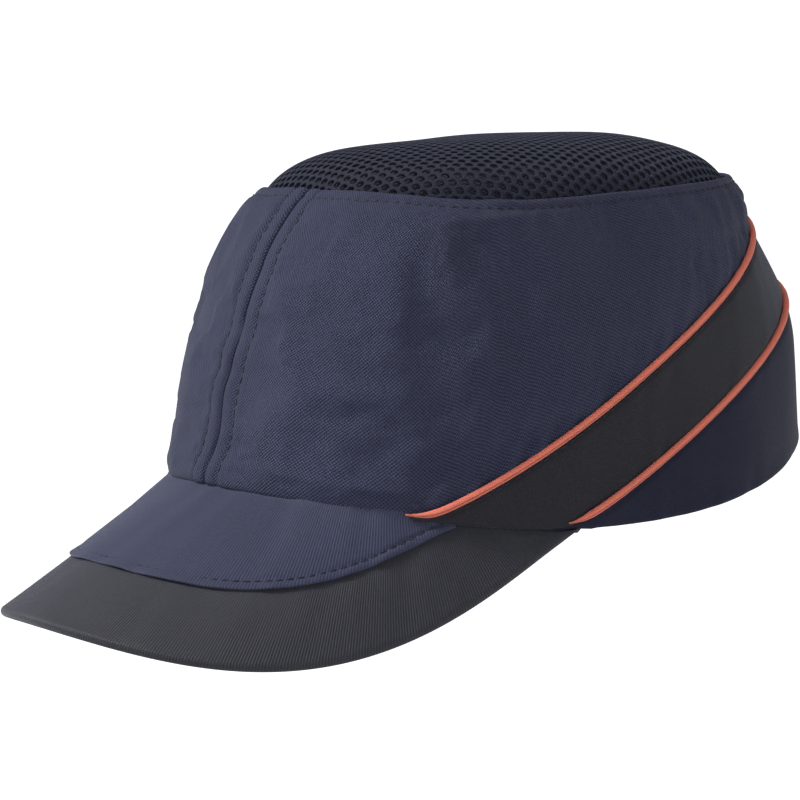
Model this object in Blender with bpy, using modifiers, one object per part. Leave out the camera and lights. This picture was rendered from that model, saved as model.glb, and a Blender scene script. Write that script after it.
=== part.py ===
"""Bump cap: a fabric cap over a moulded bump shell, with a curved peak and a hook-and-loop size strap.

Metres, +Z up, as the cap is worn on a level head. The front faces -Y and the wearer's left is +X.
The origin is the centre of the head opening, level with the rim at the front and at the back.
"""

import math

import bmesh
import bpy
from mathutils import Vector

# Crown: plan outline, heights and how far the wall leans in between the rim and the top seam.
RIM_HALF_WIDTH = 0.086
RIM_HALF_LENGTH = 0.106
RIM_SIDE_DIP = 0.016
SEAM_HEIGHT_FRONT = 0.0835
SEAM_HEIGHT_SIDE = 0.078
SEAM_HEIGHT_REAR = 0.077
RIM_POWER = 2.1
SEAM_POWER = 2.6
FRONT_LEAN, FRONT_ROUND = 0.028, 0.014
SIDE_LEAN, SIDE_ROUND = 0.018, 0.008
ROUND_POWER = 5
REAR_INSET = 0.022
REAR_INSET_START = 0.35

# Mesh top: it stands up steeply just inside the seam and then rounds over.
DOME_EDGE_RISE, DOME_EDGE_POWER = 0.006, 12
DOME_RISE, DOME_POWER = 0.0098, 3.2
DOME_BASE_HEIGHT = 0.0785
DOME_CENTRE_Y = (FRONT_LEAN + FRONT_ROUND - REAR_INSET) / 2
MESH_DROP = 0.001
DOME_ROWS = 7
DOME_ROW_POWER = 1.6

# Stripe seams: each lies in a plane that climbs towards the back.
UPPER_SEAM_HEIGHT, UPPER_SEAM_SLOPE = 0.0255, 0.478
LOWER_SEAM_HEIGHT, LOWER_SEAM_SLOPE = -0.0005, 0.4446
SEAM_RUN_IN = 0.03
PIPING_RADIUS = 0.00115
SEAM_HALF_GAP = 0.002
UPPER_PIPING_START, LOWER_PIPING_START = math.radians(45.5), math.radians(73.5)
BAND_START, REAR_PANEL_START = math.radians(50.5), math.radians(78)
CROWN_RUN_OUT, BAND_RUN_OUT, RUN_OUT_LENGTH = math.radians(39), math.radians(67), math.radians(5)
SEAM_ANGLE = 0.0016
PIPING_END_ANGLE = 0.004

# Layers, outside to inside, as depth below the outer fabric.
GAP = 0.0003
CLOTH = 0.0012
TAPE_DEPTH, TAPE = 0.0015, 0.0004
SHELL_DEPTH, SHELL = 0.0022, 0.002
PAD_DEPTH, PAD = 0.0045, 0.005
MESH = 0.0015
DOME_SHELL_DEPTH = 0.0032
DOME_PAD_DEPTH = 0.0056
SHELL_TOP = 0.9
FRONT_TAPE_HALF_WIDTH = 0.0075
FRONT_TAPE_LOW, FRONT_TAPE_HIGH = 0.1, 0.88
TOP_TAPE_LOW, TOP_TAPE_HIGH = 0.9, 0.96
TOP_PAD_START = 0.45

# Shell edge and vents.
SHELL_EDGE_FRONT, SHELL_EDGE_LIFT = 0.12, 0.43
VENT_LENGTH, VENT_WIDTH = 0.030, 0.006
VENT_RING_HALF_WIDTH, VENT_RING_HALF_LENGTH = 0.036, 0.046

# Sweatband and label.
SWEATBAND_HEIGHT = 0.031
SWEATBAND_CLOTH = 0.0014
SWEATBAND_FOLD_DEPTH, SWEATBAND_DEPTH = 0.0016, 0.0048
SWEATBAND_LOW = 0.0008
SWEATBAND_TURN = 0.008
SWEATBAND_END = math.radians(130)
LABEL = 0.0004
LABEL_START, LABEL_TURN = math.radians(101), math.radians(17)
LABEL_LOW, LABEL_HEIGHT = 0.011, 0.016

# Peak.
PEAK_HALF_WIDTH = 0.0831
PEAK_SHOULDER = 0.52
PEAK_ROOT_Y = -0.0315
PEAK_TIP_Y = -0.168
PEAK_POWER = 1.7
PEAK_TIP_DROP = 0.0311
PEAK_ROOT_DROP = 0.0152
PEAK_SIDE_DROP = 0.0185
PEAK_ROOT_ARCH = 0.0005
PEAK_ROOT_INSET = 0.988
PEAK_ROOT_LOW = 0.0018
PEAK_ROOT_ANGLE = math.radians(74)
PEAK_END = math.radians(82)
PEAK_CLOTH = 0.0005
PEAK_GAP = 0.00045
PEAK_BOARD = 0.0013
PEAK_HALF_THICKNESS = 0.0016
PEAK_CLOTH_JOIN = 0.0007
PEAK_BOARD_INSET = 0.0035
PEAK_BOARD_ROOT = 0.03
PEAK_BOARD_END = 0.9 * PEAK_END
PEAK_LAYER_END = 0.97
BORDER_SHARE = 0.605
BORDER_END = math.radians(64)
UNDER_BORDER_SHARE = 0.45

# Rear opening and size strap. The strap is an arc about a vertical axis behind the head's centre.
ARCH_HALF_WIDTH = 0.044
ARCH_HEIGHT = 0.035
ARCH_CUT_LENGTH = 0.08
ARCH_FOOT_TURN = 0.05
BINDING_RADIUS = 0.0012
STRAP_AXIS_Y = 0.0345
STRAP_RADIUS = 0.0699
STRAP = 0.0012
PATCH = 0.0008
STRAP_LOW, STRAP_HIGH = 0.0015, 0.0195
STRAP_CORNER = 0.006
STRAP_COLUMN = 0.0035
PATCH_MARGIN = 0.0015
HOOK_TIP_INSET, PATCH_INSET = math.radians(1.2), math.radians(2)
LOOP_START = math.radians(-27)
STRAP_TAIL = math.radians(42)
TAB_SPLIT = math.radians(1)
TAB_TIP = math.radians(-20)
RIGHT_STRAP_TIP = math.radians(13)

NAVY = (0.045, 0.048, 0.08, 1)
BLACK = (0.022, 0.022, 0.026, 1)
CORAL = (0.56, 0.13, 0.07, 1)
MESH_NAVY = (0.012, 0.014, 0.026, 1)
SHELL_BLACK = (0.02, 0.02, 0.022, 1)
FOAM_GREY = (0.09, 0.09, 0.1, 1)
LABEL_WHITE = (0.75, 0.75, 0.73, 1)


def clear_scene():
    for thing in list(bpy.data.objects):
        bpy.data.objects.remove(thing, do_unlink=True)


def new_collection(name):
    made = bpy.data.collections.new(name)
    bpy.context.scene.collection.children.link(made)
    return made


def paint(thing, colour, roughness):
    """Gives the piece a material of its own."""
    material = bpy.data.materials.new(thing.name)
    material.use_nodes = True
    shader = material.node_tree.nodes["Principled BSDF"]
    shader.inputs["Base Color"].default_value = colour
    shader.inputs["Roughness"].default_value = roughness
    thing.data.materials.clear()
    thing.data.materials.append(material)


def smoothstep(value):
    share = min(1.0, max(0.0, value))
    return share * share * (3 - 2 * share)


def closer_rows(share):
    """Spaces a grid's rows more closely towards the top, where the wall curls in."""
    return share * (1.5 - 0.5 * share)


def power_arc(value, power):
    """Sine or cosine bent into a superellipse."""
    return math.copysign(abs(value) ** (2 / power), value)


def crown_surface(angle, rise):
    """The outer fabric: angle 0 is the front centre and +90 degrees the left; rise 0 is the rim, 1 the top seam."""
    curl = max(rise, 0.0) ** ROUND_POWER
    side = SIDE_LEAN * rise + SIDE_ROUND * curl
    front = FRONT_LEAN * rise + FRONT_ROUND * curl
    rear = REAR_INSET * smoothstep((rise - REAR_INSET_START) / (1 - REAR_INSET_START))
    power = RIM_POWER + (SEAM_POWER - RIM_POWER) * rise
    ahead = math.cos(angle)
    end_inset = front if ahead > 0 else rear
    x = (RIM_HALF_WIDTH - side) * power_arc(math.sin(angle), power)
    y = -(RIM_HALF_LENGTH - end_inset) * power_arc(ahead, power)
    rim = -RIM_SIDE_DIP * math.sin(angle) ** 2
    end_height = SEAM_HEIGHT_FRONT if ahead > 0 else SEAM_HEIGHT_REAR
    top = SEAM_HEIGHT_SIDE + (end_height - SEAM_HEIGHT_SIDE) * ahead * ahead
    return Vector((x, y, rim + (top - rim) * rise))


def offset_point(surface, a, b, depth):
    """The surface's point at (a, b), moved inwards by depth along the surface's normal."""
    here = surface(a, b)
    if not depth:
        return here
    step = 0.01
    along = surface(a + step, b) - surface(a - step, b)
    across = surface(a, b + step) - surface(a, b - step)
    return here - along.cross(across).normalized() * depth


def crown_point(angle, rise, depth=0.0):
    return offset_point(crown_surface, angle, rise, depth)


def wall_height(angle):
    """Height of the wall from the rim to the top seam."""
    return crown_surface(angle, 1.0).z - crown_surface(angle, 0.0).z


def dome_surface(angle, inward):
    """The mesh top: inward 0 is the seam and 1 the apex."""
    seam = crown_point(angle, 1.0, TAPE_DEPTH)
    share = 1 - inward
    seam.z -= MESH_DROP
    base = DOME_BASE_HEIGHT + (seam.z - DOME_BASE_HEIGHT) * share * share
    rise = DOME_EDGE_RISE * (1 - share**DOME_EDGE_POWER) + DOME_RISE * (1 - share**DOME_POWER)
    y = DOME_CENTRE_Y + (seam.y - DOME_CENTRE_Y) * share
    return Vector((seam.x * share, y, base + rise))


def dome_inward(row):
    """Where a row of the dome lies; the rows are closer near the seam, where the mesh is steep."""
    return (row / DOME_ROWS) ** DOME_ROW_POWER


def dome_point(angle, inward, depth):
    """Depth is taken straight down, which keeps the apex a single point."""
    return dome_surface(angle, inward) - Vector((0, 0, depth))


def seam_rise(angle, height, slope, shift):
    """How far up the wall a stripe seam crosses it; it runs out smoothly along the rim at its front end."""
    low, high = -0.6, 1.0
    for _ in range(30):
        middle = (low + high) / 2
        point = crown_surface(angle, middle)
        if point.z < height + slope * point.y:
            low = middle
        else:
            high = middle
    run_out = (low + math.sqrt(low * low + SEAM_RUN_IN * SEAM_RUN_IN)) / 2
    return run_out + shift / wall_height(angle)


def upper_seam(angle, shift=0.0):
    return seam_rise(angle, UPPER_SEAM_HEIGHT, UPPER_SEAM_SLOPE, shift)


def lower_seam(angle, shift=0.0):
    return seam_rise(angle, LOWER_SEAM_HEIGHT, LOWER_SEAM_SLOPE, shift)


def grid_object(name, columns, rows, place, group):
    """A grid whose points place(u, v) sets, u and v from 0 to 1. Its front side is where u cross v points."""
    mesh = bpy.data.meshes.new(name)
    work = bmesh.new()
    bmesh.ops.create_grid(work, x_segments=columns, y_segments=rows, size=0.5)
    for vertex in work.verts:
        vertex.co = place(vertex.co.x + 0.5, vertex.co.y + 0.5)
    bmesh.ops.remove_doubles(work, verts=work.verts, dist=0.00001)
    work.to_mesh(mesh)
    work.free()
    thing = bpy.data.objects.new(name, mesh)
    group.objects.link(thing)
    mesh.shade_smooth()
    return thing


def thicken(thing, thickness):
    """Gives the open surface its thickness, on its inner side."""
    solid = thing.modifiers.new("Thickness", "SOLIDIFY")
    solid.thickness = thickness
    solid.offset = -1
    solid.use_even_offset = True
    return thing


def cut(thing, cutter):
    trim = thing.modifiers.new("Cut " + cutter.name, "BOOLEAN")
    trim.operation = "DIFFERENCE"
    trim.object = cutter
    return thing


def cloth_patch(name, angles, rises, depth, thickness, grid, group, colour, roughness=0.8):
    """A piece of wall between two angles, with its lower and upper rise given as functions of the angle."""
    start, end = angles
    low, high = rises

    def place(u, v):
        angle = start + (end - start) * u
        bottom, top = low(angle), high(angle)
        return crown_point(angle, bottom + (top - bottom) * closer_rows(v), depth)

    patch = grid_object(name, grid[0], grid[1], place, group)
    thicken(patch, thickness)
    paint(patch, colour, roughness)
    return patch


def tube(name, points, radius, group, colour):
    """A round cord through the points."""
    curve = bpy.data.curves.new(name, "CURVE")
    curve.dimensions = "3D"
    curve.bevel_depth = radius
    curve.bevel_resolution = 2
    curve.use_fill_caps = True
    line = curve.splines.new("POLY")
    line.points.add(len(points) - 1)
    for point, place in zip(line.points, points):
        point.co = (*place, 1)
    thing = bpy.data.objects.new(name, curve)
    group.objects.link(thing)
    paint(thing, colour, 0.6)
    return thing


def spaced(start, end, count):
    return [start + (end - start) * step / (count - 1) for step in range(count)]


def mirrored(angles, side):
    """The same stretch on the left (side 1) or right (side -1), kept in rising order."""
    return angles if side > 0 else (-angles[1], -angles[0])


def make_crown(group):
    back = math.pi - SEAM_ANGLE
    for word, side in (("left", 1), ("right", -1)):
        cloth_patch(
            f"crown_panel_{word}",
            mirrored((SEAM_ANGLE, back), side),
            (crown_panel_edge, lambda angle: 1.0),
            0.0,
            CLOTH,
            (30, 8),
            group,
            NAVY,
        )
        cloth_patch(
            f"side_band_{word}",
            mirrored((BAND_START, back), side),
            (band_edge, lambda angle: upper_seam(abs(angle), -SEAM_HALF_GAP)),
            0.0,
            CLOTH,
            (24, 3),
            group,
            BLACK,
        )
        make_piping(word, side, group)


def crown_panel_edge(angle):
    """The crown panel ends at the rim in front and just above the upper piping behind."""
    rise = upper_seam(abs(angle), SEAM_HALF_GAP)
    return rise * smoothstep((abs(angle) - CROWN_RUN_OUT) / RUN_OUT_LENGTH)


def band_edge(angle):
    """The stripe ends at the rim in front and just above the lower piping behind."""
    rise = lower_seam(abs(angle), SEAM_HALF_GAP)
    return rise * smoothstep((abs(angle) - BAND_RUN_OUT) / RUN_OUT_LENGTH)


def make_piping(word, side, group):
    """Two cords, each ending 0.2 mm short of the centre back, where the pair from the other side meets it."""
    back = math.pi - PIPING_END_ANGLE
    levels = (("upper", upper_seam, UPPER_PIPING_START), ("lower", lower_seam, LOWER_PIPING_START))
    for level, seam, start in levels:
        points = [crown_point(side * angle, seam(angle)) for angle in spaced(start, back, 20)]
        tube(f"piping_{level}_{word}", points, PIPING_RADIUS, group, CORAL)


def make_rear_panels(group, cutters):
    opening = arch_cutter(cutters)
    for word, side in (("left", 1), ("right", -1)):
        panel = cloth_patch(
            f"rear_panel_{word}",
            mirrored((REAR_PANEL_START, math.pi - SEAM_ANGLE), side),
            (lambda angle: 0.0, lambda angle: lower_seam(abs(angle), -SEAM_HALF_GAP)),
            0.0,
            CLOTH,
            (18, 4),
            group,
            NAVY,
        )
        cut(panel, opening)
    points = [arch_point(turn) for turn in spaced(ARCH_FOOT_TURN, math.pi - ARCH_FOOT_TURN, 29)]
    tube("rear_arch_binding", points, BINDING_RADIUS, group, NAVY)


def arch_cutter(cutters):
    """A half-moon bar, wider than the binding that edges it."""
    clearance = BINDING_RADIUS + GAP
    bpy.ops.mesh.primitive_cylinder_add(
        vertices=64,
        radius=1,
        depth=ARCH_CUT_LENGTH,
        location=(0, RIM_HALF_LENGTH, 0),
        rotation=(math.pi / 2, 0, 0),
    )
    cutter = bpy.context.active_object
    cutter.name = "arch_cutter"
    cutter.scale = (ARCH_HALF_WIDTH + clearance, ARCH_HEIGHT + clearance, 1)
    for owner in list(cutter.users_collection):
        owner.objects.unlink(cutter)
    cutters.objects.link(cutter)
    cutter.hide_render = True
    cutter.display_type = "WIRE"
    return cutter


def arch_point(turn):
    """A point of the opening's edge on the fabric: turn 0 is its left foot and pi its right foot."""
    x = ARCH_HALF_WIDTH * math.cos(turn)
    z = ARCH_HEIGHT * math.sin(turn)
    angle, rise = math.pi - x / RIM_HALF_LENGTH, 0.1
    for _ in range(40):
        here = crown_point(angle, rise, CLOTH / 2)
        angle += (here.x - x) / RIM_HALF_LENGTH * 0.9
        rise += (z - here.z) / SEAM_HEIGHT_REAR * 0.9
    return crown_point(angle, rise, CLOTH / 2)


def make_top(group):
    def place(u, v):
        return dome_point(-math.pi + 2 * math.pi * u, dome_inward(round(v * DOME_ROWS)), 0.0)

    top = grid_object("top_mesh", 44, DOME_ROWS, place, group)
    thicken(top, MESH)
    paint(top, MESH_NAVY, 0.7)


def make_tapes(group):
    half_width = FRONT_TAPE_HALF_WIDTH / RIM_HALF_LENGTH
    cloth_patch(
        "front_seam_tape",
        (-half_width, half_width),
        (lambda angle: FRONT_TAPE_LOW, lambda angle: FRONT_TAPE_HIGH),
        TAPE_DEPTH,
        TAPE,
        (4, 10),
        group,
        NAVY,
    )

    def place(u, v):
        rise = TOP_TAPE_LOW + (TOP_TAPE_HIGH - TOP_TAPE_LOW) * v
        return crown_point(-math.pi + 2 * math.pi * u, rise, TAPE_DEPTH)

    ring = grid_object("top_seam_tape", 40, 1, place, group)
    thicken(ring, TAPE)
    paint(ring, NAVY, 0.8)


def shell_edge(angle):
    """The shell's lower edge: near the rim in front and above the rear opening behind."""
    turned = (1 - math.cos(angle)) / 2
    return SHELL_EDGE_FRONT + SHELL_EDGE_LIFT * turned * turned


def make_shell(group, cutters):
    """The wall up to the shoulder and then the dome, as one moulding with vent slots."""
    wall_rows = 8
    rows = wall_rows + DOME_ROWS

    def place(u, v):
        angle = -math.pi + 2 * math.pi * u
        row = round(v * rows)
        if row <= wall_rows:
            edge = shell_edge(angle)
            rise = edge + (SHELL_TOP - edge) * closer_rows(row / wall_rows)
            return crown_point(angle, rise, SHELL_DEPTH)
        return dome_point(angle, dome_inward(row - wall_rows), DOME_SHELL_DEPTH)

    shell = grid_object("protective_shell", 44, rows, place, group)
    thicken(shell, SHELL)
    paint(shell, SHELL_BLACK, 0.45)
    for index, (x, y, turn) in enumerate(vent_places()):
        cut(shell, vent_cutter(f"vent_cutter_{index}", x, y, turn, cutters))


def vent_places():
    """Six slots round the dome and one along its middle."""
    places = [(0.0, DOME_CENTRE_Y, math.pi / 2)]
    for step in range(6):
        turn = math.radians(30 + 60 * step)
        x = VENT_RING_HALF_WIDTH * math.sin(turn)
        y = DOME_CENTRE_Y - VENT_RING_HALF_LENGTH * math.cos(turn)
        places.append((x, y, turn + math.pi / 2))
    return places


def vent_cutter(name, x, y, turn, cutters):
    bpy.ops.mesh.primitive_cylinder_add(vertices=12, radius=VENT_WIDTH / 2, depth=0.06)
    cutter = bpy.context.active_object
    cutter.name = name
    half = (VENT_LENGTH - VENT_WIDTH) / 2
    for vertex in cutter.data.vertices:
        vertex.co.x += half if vertex.co.x > 0.00001 else -half
    cutter.location = (x, y, DOME_BASE_HEIGHT)
    cutter.rotation_euler = (0, 0, turn)
    for owner in list(cutter.users_collection):
        owner.objects.unlink(cutter)
    cutters.objects.link(cutter)
    cutter.hide_render = True
    cutter.display_type = "WIRE"
    return cutter


def make_pads(group):
    """Foam blocks between the shell and the head."""
    stretches = {
        "pad_front": ((-40, 40), 0.44, 0.85),
        "pad_left": ((54, 126), 0.46, 0.85),
        "pad_right": ((-126, -54), 0.46, 0.85),
        "pad_rear": ((150, 210), 0.64, 0.87),
    }
    for name, (degrees, bottom, top) in stretches.items():
        cloth_patch(
            name,
            tuple(math.radians(value) for value in degrees),
            (lambda angle, rise=bottom: rise, lambda angle, rise=top: rise),
            PAD_DEPTH,
            PAD,
            (9, 3),
            group,
            FOAM_GREY,
            0.9,
        )

    def place(u, v):
        inward = TOP_PAD_START + (1 - TOP_PAD_START) * v
        return dome_point(-math.pi + 2 * math.pi * u, inward, DOME_PAD_DEPTH)

    top_pad = grid_object("pad_top", 24, 3, place, group)
    thicken(top_pad, PAD)
    paint(top_pad, FOAM_GREY, 0.9)


def sweatband_point(angle, climb, extra=0.0):
    """Climb is the distance above the rim. The band leaves the hem and turns inside the shell."""
    turned = smoothstep(climb / SWEATBAND_TURN)
    depth = SWEATBAND_FOLD_DEPTH + (SWEATBAND_DEPTH - SWEATBAND_FOLD_DEPTH) * turned
    return crown_point(angle, climb / wall_height(angle), depth + extra)


def make_sweatband(group):
    def place(u, v):
        angle = -SWEATBAND_END + 2 * SWEATBAND_END * u
        return sweatband_point(angle, SWEATBAND_LOW + (SWEATBAND_HEIGHT - SWEATBAND_LOW) * v)

    band = grid_object("sweatband", 40, 5, place, group)
    thicken(band, SWEATBAND_CLOTH)
    paint(band, BLACK, 0.85)

    def place_label(u, v):
        angle = LABEL_START + LABEL_TURN * u
        return sweatband_point(angle, LABEL_LOW + LABEL_HEIGHT * v, SWEATBAND_CLOTH + GAP)

    label = grid_object("care_label", 5, 3, place_label, group)
    thicken(label, LABEL)
    paint(label, LABEL_WHITE, 0.8)


def peak_edge(turn):
    """The peak's outer edge: turn 0 is the tip and 90 degrees the left root."""
    ahead, aside = math.cos(turn) ** 2, math.sin(turn) ** 2
    x = PEAK_HALF_WIDTH * math.sin(turn) * (1 + PEAK_SHOULDER * ahead)
    y = PEAK_ROOT_Y + (PEAK_TIP_Y - PEAK_ROOT_Y) * abs(math.cos(turn)) ** PEAK_POWER
    drop = PEAK_TIP_DROP * ahead + PEAK_ROOT_DROP * aside + PEAK_SIDE_DROP * math.sin(2 * turn) ** 2
    return Vector((x, y, -drop))


def peak_surface(turn, reach):
    """The peak's top: reach 0 is the root under the rim and 1 the outer edge."""
    rim = crown_surface(turn * PEAK_ROOT_ANGLE / (math.pi / 2), 0.0)
    root = Vector((rim.x * PEAK_ROOT_INSET, rim.y * PEAK_ROOT_INSET, rim.z - PEAK_ROOT_LOW))
    point = root.lerp(peak_edge(turn), reach)
    point.z += PEAK_ROOT_ARCH * 27 / 4 * reach * (1 - reach) ** 2 * math.cos(turn) ** 2
    return point


def peak_point(turn, reach, depth=0.0):
    """Depth is measured down from the top face."""
    here = peak_surface(turn, reach)
    step = 0.01
    along = peak_surface(turn + step, reach) - peak_surface(turn - step, reach)
    outwards = peak_surface(turn, reach + step) - peak_surface(turn, reach - step)
    return here - outwards.cross(along).normalized() * depth


def peak_width(turn):
    """Distance from the root to the outer edge, square to the edge."""
    across = peak_surface(turn, 1.0) - peak_surface(turn, 0.0)
    tangent = peak_edge(turn + 0.01) - peak_edge(turn - 0.01)
    return across.cross(tangent.normalized()).length


def border_line(turn):
    """Reach at which the navy top meets the black border."""
    return BORDER_SHARE * max(0.0, 1 - abs(turn / BORDER_END) ** 3)


def under_border_line(turn):
    top = border_line(turn)
    return top + (1 - top) * UNDER_BORDER_SHARE


def peak_sheet(name, end, low, high, depth, thickness, grid, group, colour):
    """A layer of the peak. Turn rises from left to right here, so that the grid's front side is up."""

    def place(u, v):
        turn = end - 2 * end * u
        bottom, top = low(turn), high(turn)
        return peak_point(turn, bottom + (top - bottom) * v, depth)

    sheet = grid_object(name, grid[0], grid[1], place, group)
    thicken(sheet, thickness)
    paint(sheet, colour, 0.8)


def make_peak(group):
    peak_sheet(
        "peak_top_cover",
        BORDER_END * PEAK_LAYER_END,
        lambda turn: 0.0,
        lambda turn: border_line(turn) - PEAK_CLOTH_JOIN / peak_width(turn),
        0.0,
        PEAK_CLOTH,
        (34, 4),
        group,
        NAVY,
    )
    peak_sheet(
        "peak_board",
        PEAK_BOARD_END,
        lambda turn: PEAK_BOARD_ROOT,
        lambda turn: 1 - PEAK_BOARD_INSET / peak_width(turn),
        PEAK_CLOTH + PEAK_GAP,
        PEAK_BOARD,
        (38, 5),
        group,
        FOAM_GREY,
    )
    peak_sheet(
        "peak_under_cover",
        PEAK_END * PEAK_LAYER_END,
        lambda turn: 0.0,
        lambda turn: under_border_line(turn) - PEAK_CLOTH_JOIN / peak_width(turn),
        PEAK_CLOTH + PEAK_BOARD + 2 * PEAK_GAP,
        PEAK_CLOTH,
        (38, 4),
        group,
        NAVY,
    )
    make_edge_band(group)


def make_edge_band(group):
    """The border runs out over the top, round the edge and back under the peak."""
    top_rows, wrap_rows, under_rows = 4, 5, 3
    rows = top_rows + wrap_rows + under_rows

    def place(u, v):
        turn = PEAK_END - 2 * PEAK_END * u
        width = peak_width(turn)
        shoulder = 1 - PEAK_HALF_THICKNESS / width
        row = round(v * rows)
        if row <= top_rows:
            start = border_line(turn)
            return peak_point(turn, start + (shoulder - start) * row / top_rows)
        if row <= top_rows + wrap_rows:
            bend = math.pi * (row - top_rows) / wrap_rows
            reach = shoulder + math.sin(bend) * PEAK_HALF_THICKNESS / width
            return peak_point(turn, reach, PEAK_HALF_THICKNESS * (1 - math.cos(bend)))
        back = (row - top_rows - wrap_rows) / under_rows
        reach = shoulder + (under_border_line(turn) - shoulder) * back
        return peak_point(turn, reach, 2 * PEAK_HALF_THICKNESS)

    band = grid_object("peak_edge_band", 42, rows, place, group)
    thicken(band, PEAK_CLOTH)
    paint(band, BLACK, 0.8)


def strap_point(turn, height, radius):
    """Turn is measured about the strap's axis, from the centre back towards the wearer's left."""
    return Vector((radius * math.sin(turn), STRAP_AXIS_Y + radius * math.cos(turn), height))


def corner_trim(distance):
    """How much a rounded corner takes off the strap's edge, this far from its end."""
    left = max(0.0, STRAP_CORNER - distance)
    return STRAP_CORNER - math.sqrt(STRAP_CORNER**2 - left**2)


def strap_piece(name, start, end, radius, thickness, margin, rounded_end, group, colour):
    """A piece of strap from start to end (end further left), with one end's corners rounded if asked."""

    def place(u, v):
        turn = end + (start - end) * u
        trim = margin
        if rounded_end is not None:
            trim += corner_trim(abs(turn - rounded_end) * radius)
        low, high = STRAP_LOW + trim, STRAP_HIGH - trim
        return strap_point(turn, low + (high - low) * v, radius)

    columns = max(6, round(abs(end - start) * radius / STRAP_COLUMN))
    piece = grid_object(name, columns, 2, place, group)
    thicken(piece, thickness)
    paint(piece, colour, 0.85)
    return piece


def hang_on_axis(pieces, name, place, group):
    """Parents the pieces to an empty that stands on their joint's axis."""
    axis = bpy.data.objects.new(name, None)
    group.objects.link(axis)
    axis.location = place
    for piece in pieces:
        piece.parent = axis
        piece.matrix_parent_inverse.translation = -Vector(place)
    return axis


def make_closure(group):
    """Outside to inside: left strap with its tab, hook patch, loop patch, right strap."""
    split_gap = GAP / 2 / STRAP_RADIUS
    hook_radius = STRAP_RADIUS - STRAP - GAP
    loop_radius = hook_radius - PATCH - GAP
    right_radius = loop_radius - PATCH - GAP
    left_end, tab_end = TAB_SPLIT + split_gap, TAB_SPLIT - split_gap
    hook_ends = (TAB_TIP + HOOK_TIP_INSET, TAB_SPLIT - PATCH_INSET)
    loop_ends = (LOOP_START, RIGHT_STRAP_TIP - PATCH_INSET)
    pieces = (
        ("closure_strap_left", left_end, STRAP_TAIL, STRAP_RADIUS, STRAP, 0.0, None),
        ("closure_tab", TAB_TIP, tab_end, STRAP_RADIUS, STRAP, 0.0, TAB_TIP),
        ("hook_patch", *hook_ends, hook_radius, PATCH, PATCH_MARGIN, None),
        ("loop_patch", *loop_ends, loop_radius, PATCH, PATCH_MARGIN, None),
        ("closure_strap_right", -STRAP_TAIL, RIGHT_STRAP_TIP, right_radius, STRAP, 0.0, RIGHT_STRAP_TIP),
    )
    made = {piece[0]: strap_piece(*piece, group, BLACK) for piece in pieces}
    hang_on_axis([made["closure_strap_left"]], "strap_axis", (0, STRAP_AXIS_Y, 0), group)
    tab_axis = strap_point(TAB_SPLIT, 0, STRAP_RADIUS)
    hang_on_axis([made["closure_tab"], made["hook_patch"]], "tab_axis", tab_axis, group)


def main():
    clear_scene()
    parts = new_collection("bump_cap")
    cutters = new_collection("cutters")
    make_crown(parts)
    make_rear_panels(parts, cutters)
    make_top(parts)
    make_tapes(parts)
    make_shell(parts, cutters)
    make_pads(parts)
    make_sweatband(parts)
    make_peak(parts)
    make_closure(parts)


main()
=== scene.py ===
"""Bump cap: the looks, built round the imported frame. Metres; -Y is the front and +X the wearer's left."""

import math

import bpy
import numpy as np
from mathutils import Matrix, Vector


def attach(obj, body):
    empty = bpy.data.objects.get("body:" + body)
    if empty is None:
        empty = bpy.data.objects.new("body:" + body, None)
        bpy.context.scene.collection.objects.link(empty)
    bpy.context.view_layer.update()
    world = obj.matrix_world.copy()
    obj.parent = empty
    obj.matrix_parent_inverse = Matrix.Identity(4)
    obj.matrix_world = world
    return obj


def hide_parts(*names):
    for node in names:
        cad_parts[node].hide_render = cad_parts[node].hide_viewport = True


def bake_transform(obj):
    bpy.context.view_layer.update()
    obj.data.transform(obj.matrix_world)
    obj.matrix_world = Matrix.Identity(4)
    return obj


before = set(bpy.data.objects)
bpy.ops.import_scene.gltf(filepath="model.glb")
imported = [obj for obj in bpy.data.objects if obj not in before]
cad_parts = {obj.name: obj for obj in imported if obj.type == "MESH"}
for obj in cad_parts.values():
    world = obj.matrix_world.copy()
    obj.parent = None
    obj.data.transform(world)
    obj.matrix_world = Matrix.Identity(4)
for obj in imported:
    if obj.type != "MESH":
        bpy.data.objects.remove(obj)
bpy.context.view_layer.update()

MM = 0.001

# The part's own driving dimensions, which give every cloth piece the shape of the solid behind it.
RIM_HALF_WIDTH = 0.086
RIM_HALF_LENGTH = 0.106
RIM_SIDE_DIP = 0.016
SEAM_HEIGHT_FRONT = 0.0835
SEAM_HEIGHT_SIDE = 0.078
SEAM_HEIGHT_REAR = 0.077
RIM_POWER = 2.1
SEAM_POWER = 2.6
FRONT_LEAN, FRONT_ROUND = 0.028, 0.014
SIDE_LEAN, SIDE_ROUND = 0.018, 0.008
ROUND_POWER = 5
REAR_INSET = 0.022
REAR_INSET_START = 0.35
DOME_EDGE_RISE, DOME_EDGE_POWER = 0.006, 12
DOME_RISE, DOME_POWER = 0.0098, 3.2
DOME_BASE_HEIGHT = 0.0785
DOME_CENTRE_Y = (FRONT_LEAN + FRONT_ROUND - REAR_INSET) / 2
MESH_DROP = 0.001
UPPER_SEAM_HEIGHT, UPPER_SEAM_SLOPE = 0.0255, 0.478
LOWER_SEAM_HEIGHT, LOWER_SEAM_SLOPE = -0.0005, 0.4446
SEAM_RUN_IN = 0.03
PEAK_HALF_WIDTH = 0.0831
PEAK_SHOULDER = 0.52
PEAK_ROOT_Y = -0.0315
PEAK_TIP_Y = -0.168
PEAK_POWER = 1.7
PEAK_TIP_DROP = 0.0311
PEAK_ROOT_DROP = 0.0152
PEAK_SIDE_DROP = 0.0185
PEAK_ROOT_ARCH = 0.0005
PEAK_ROOT_INSET = 0.988
PEAK_ROOT_LOW = 0.0018
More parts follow.
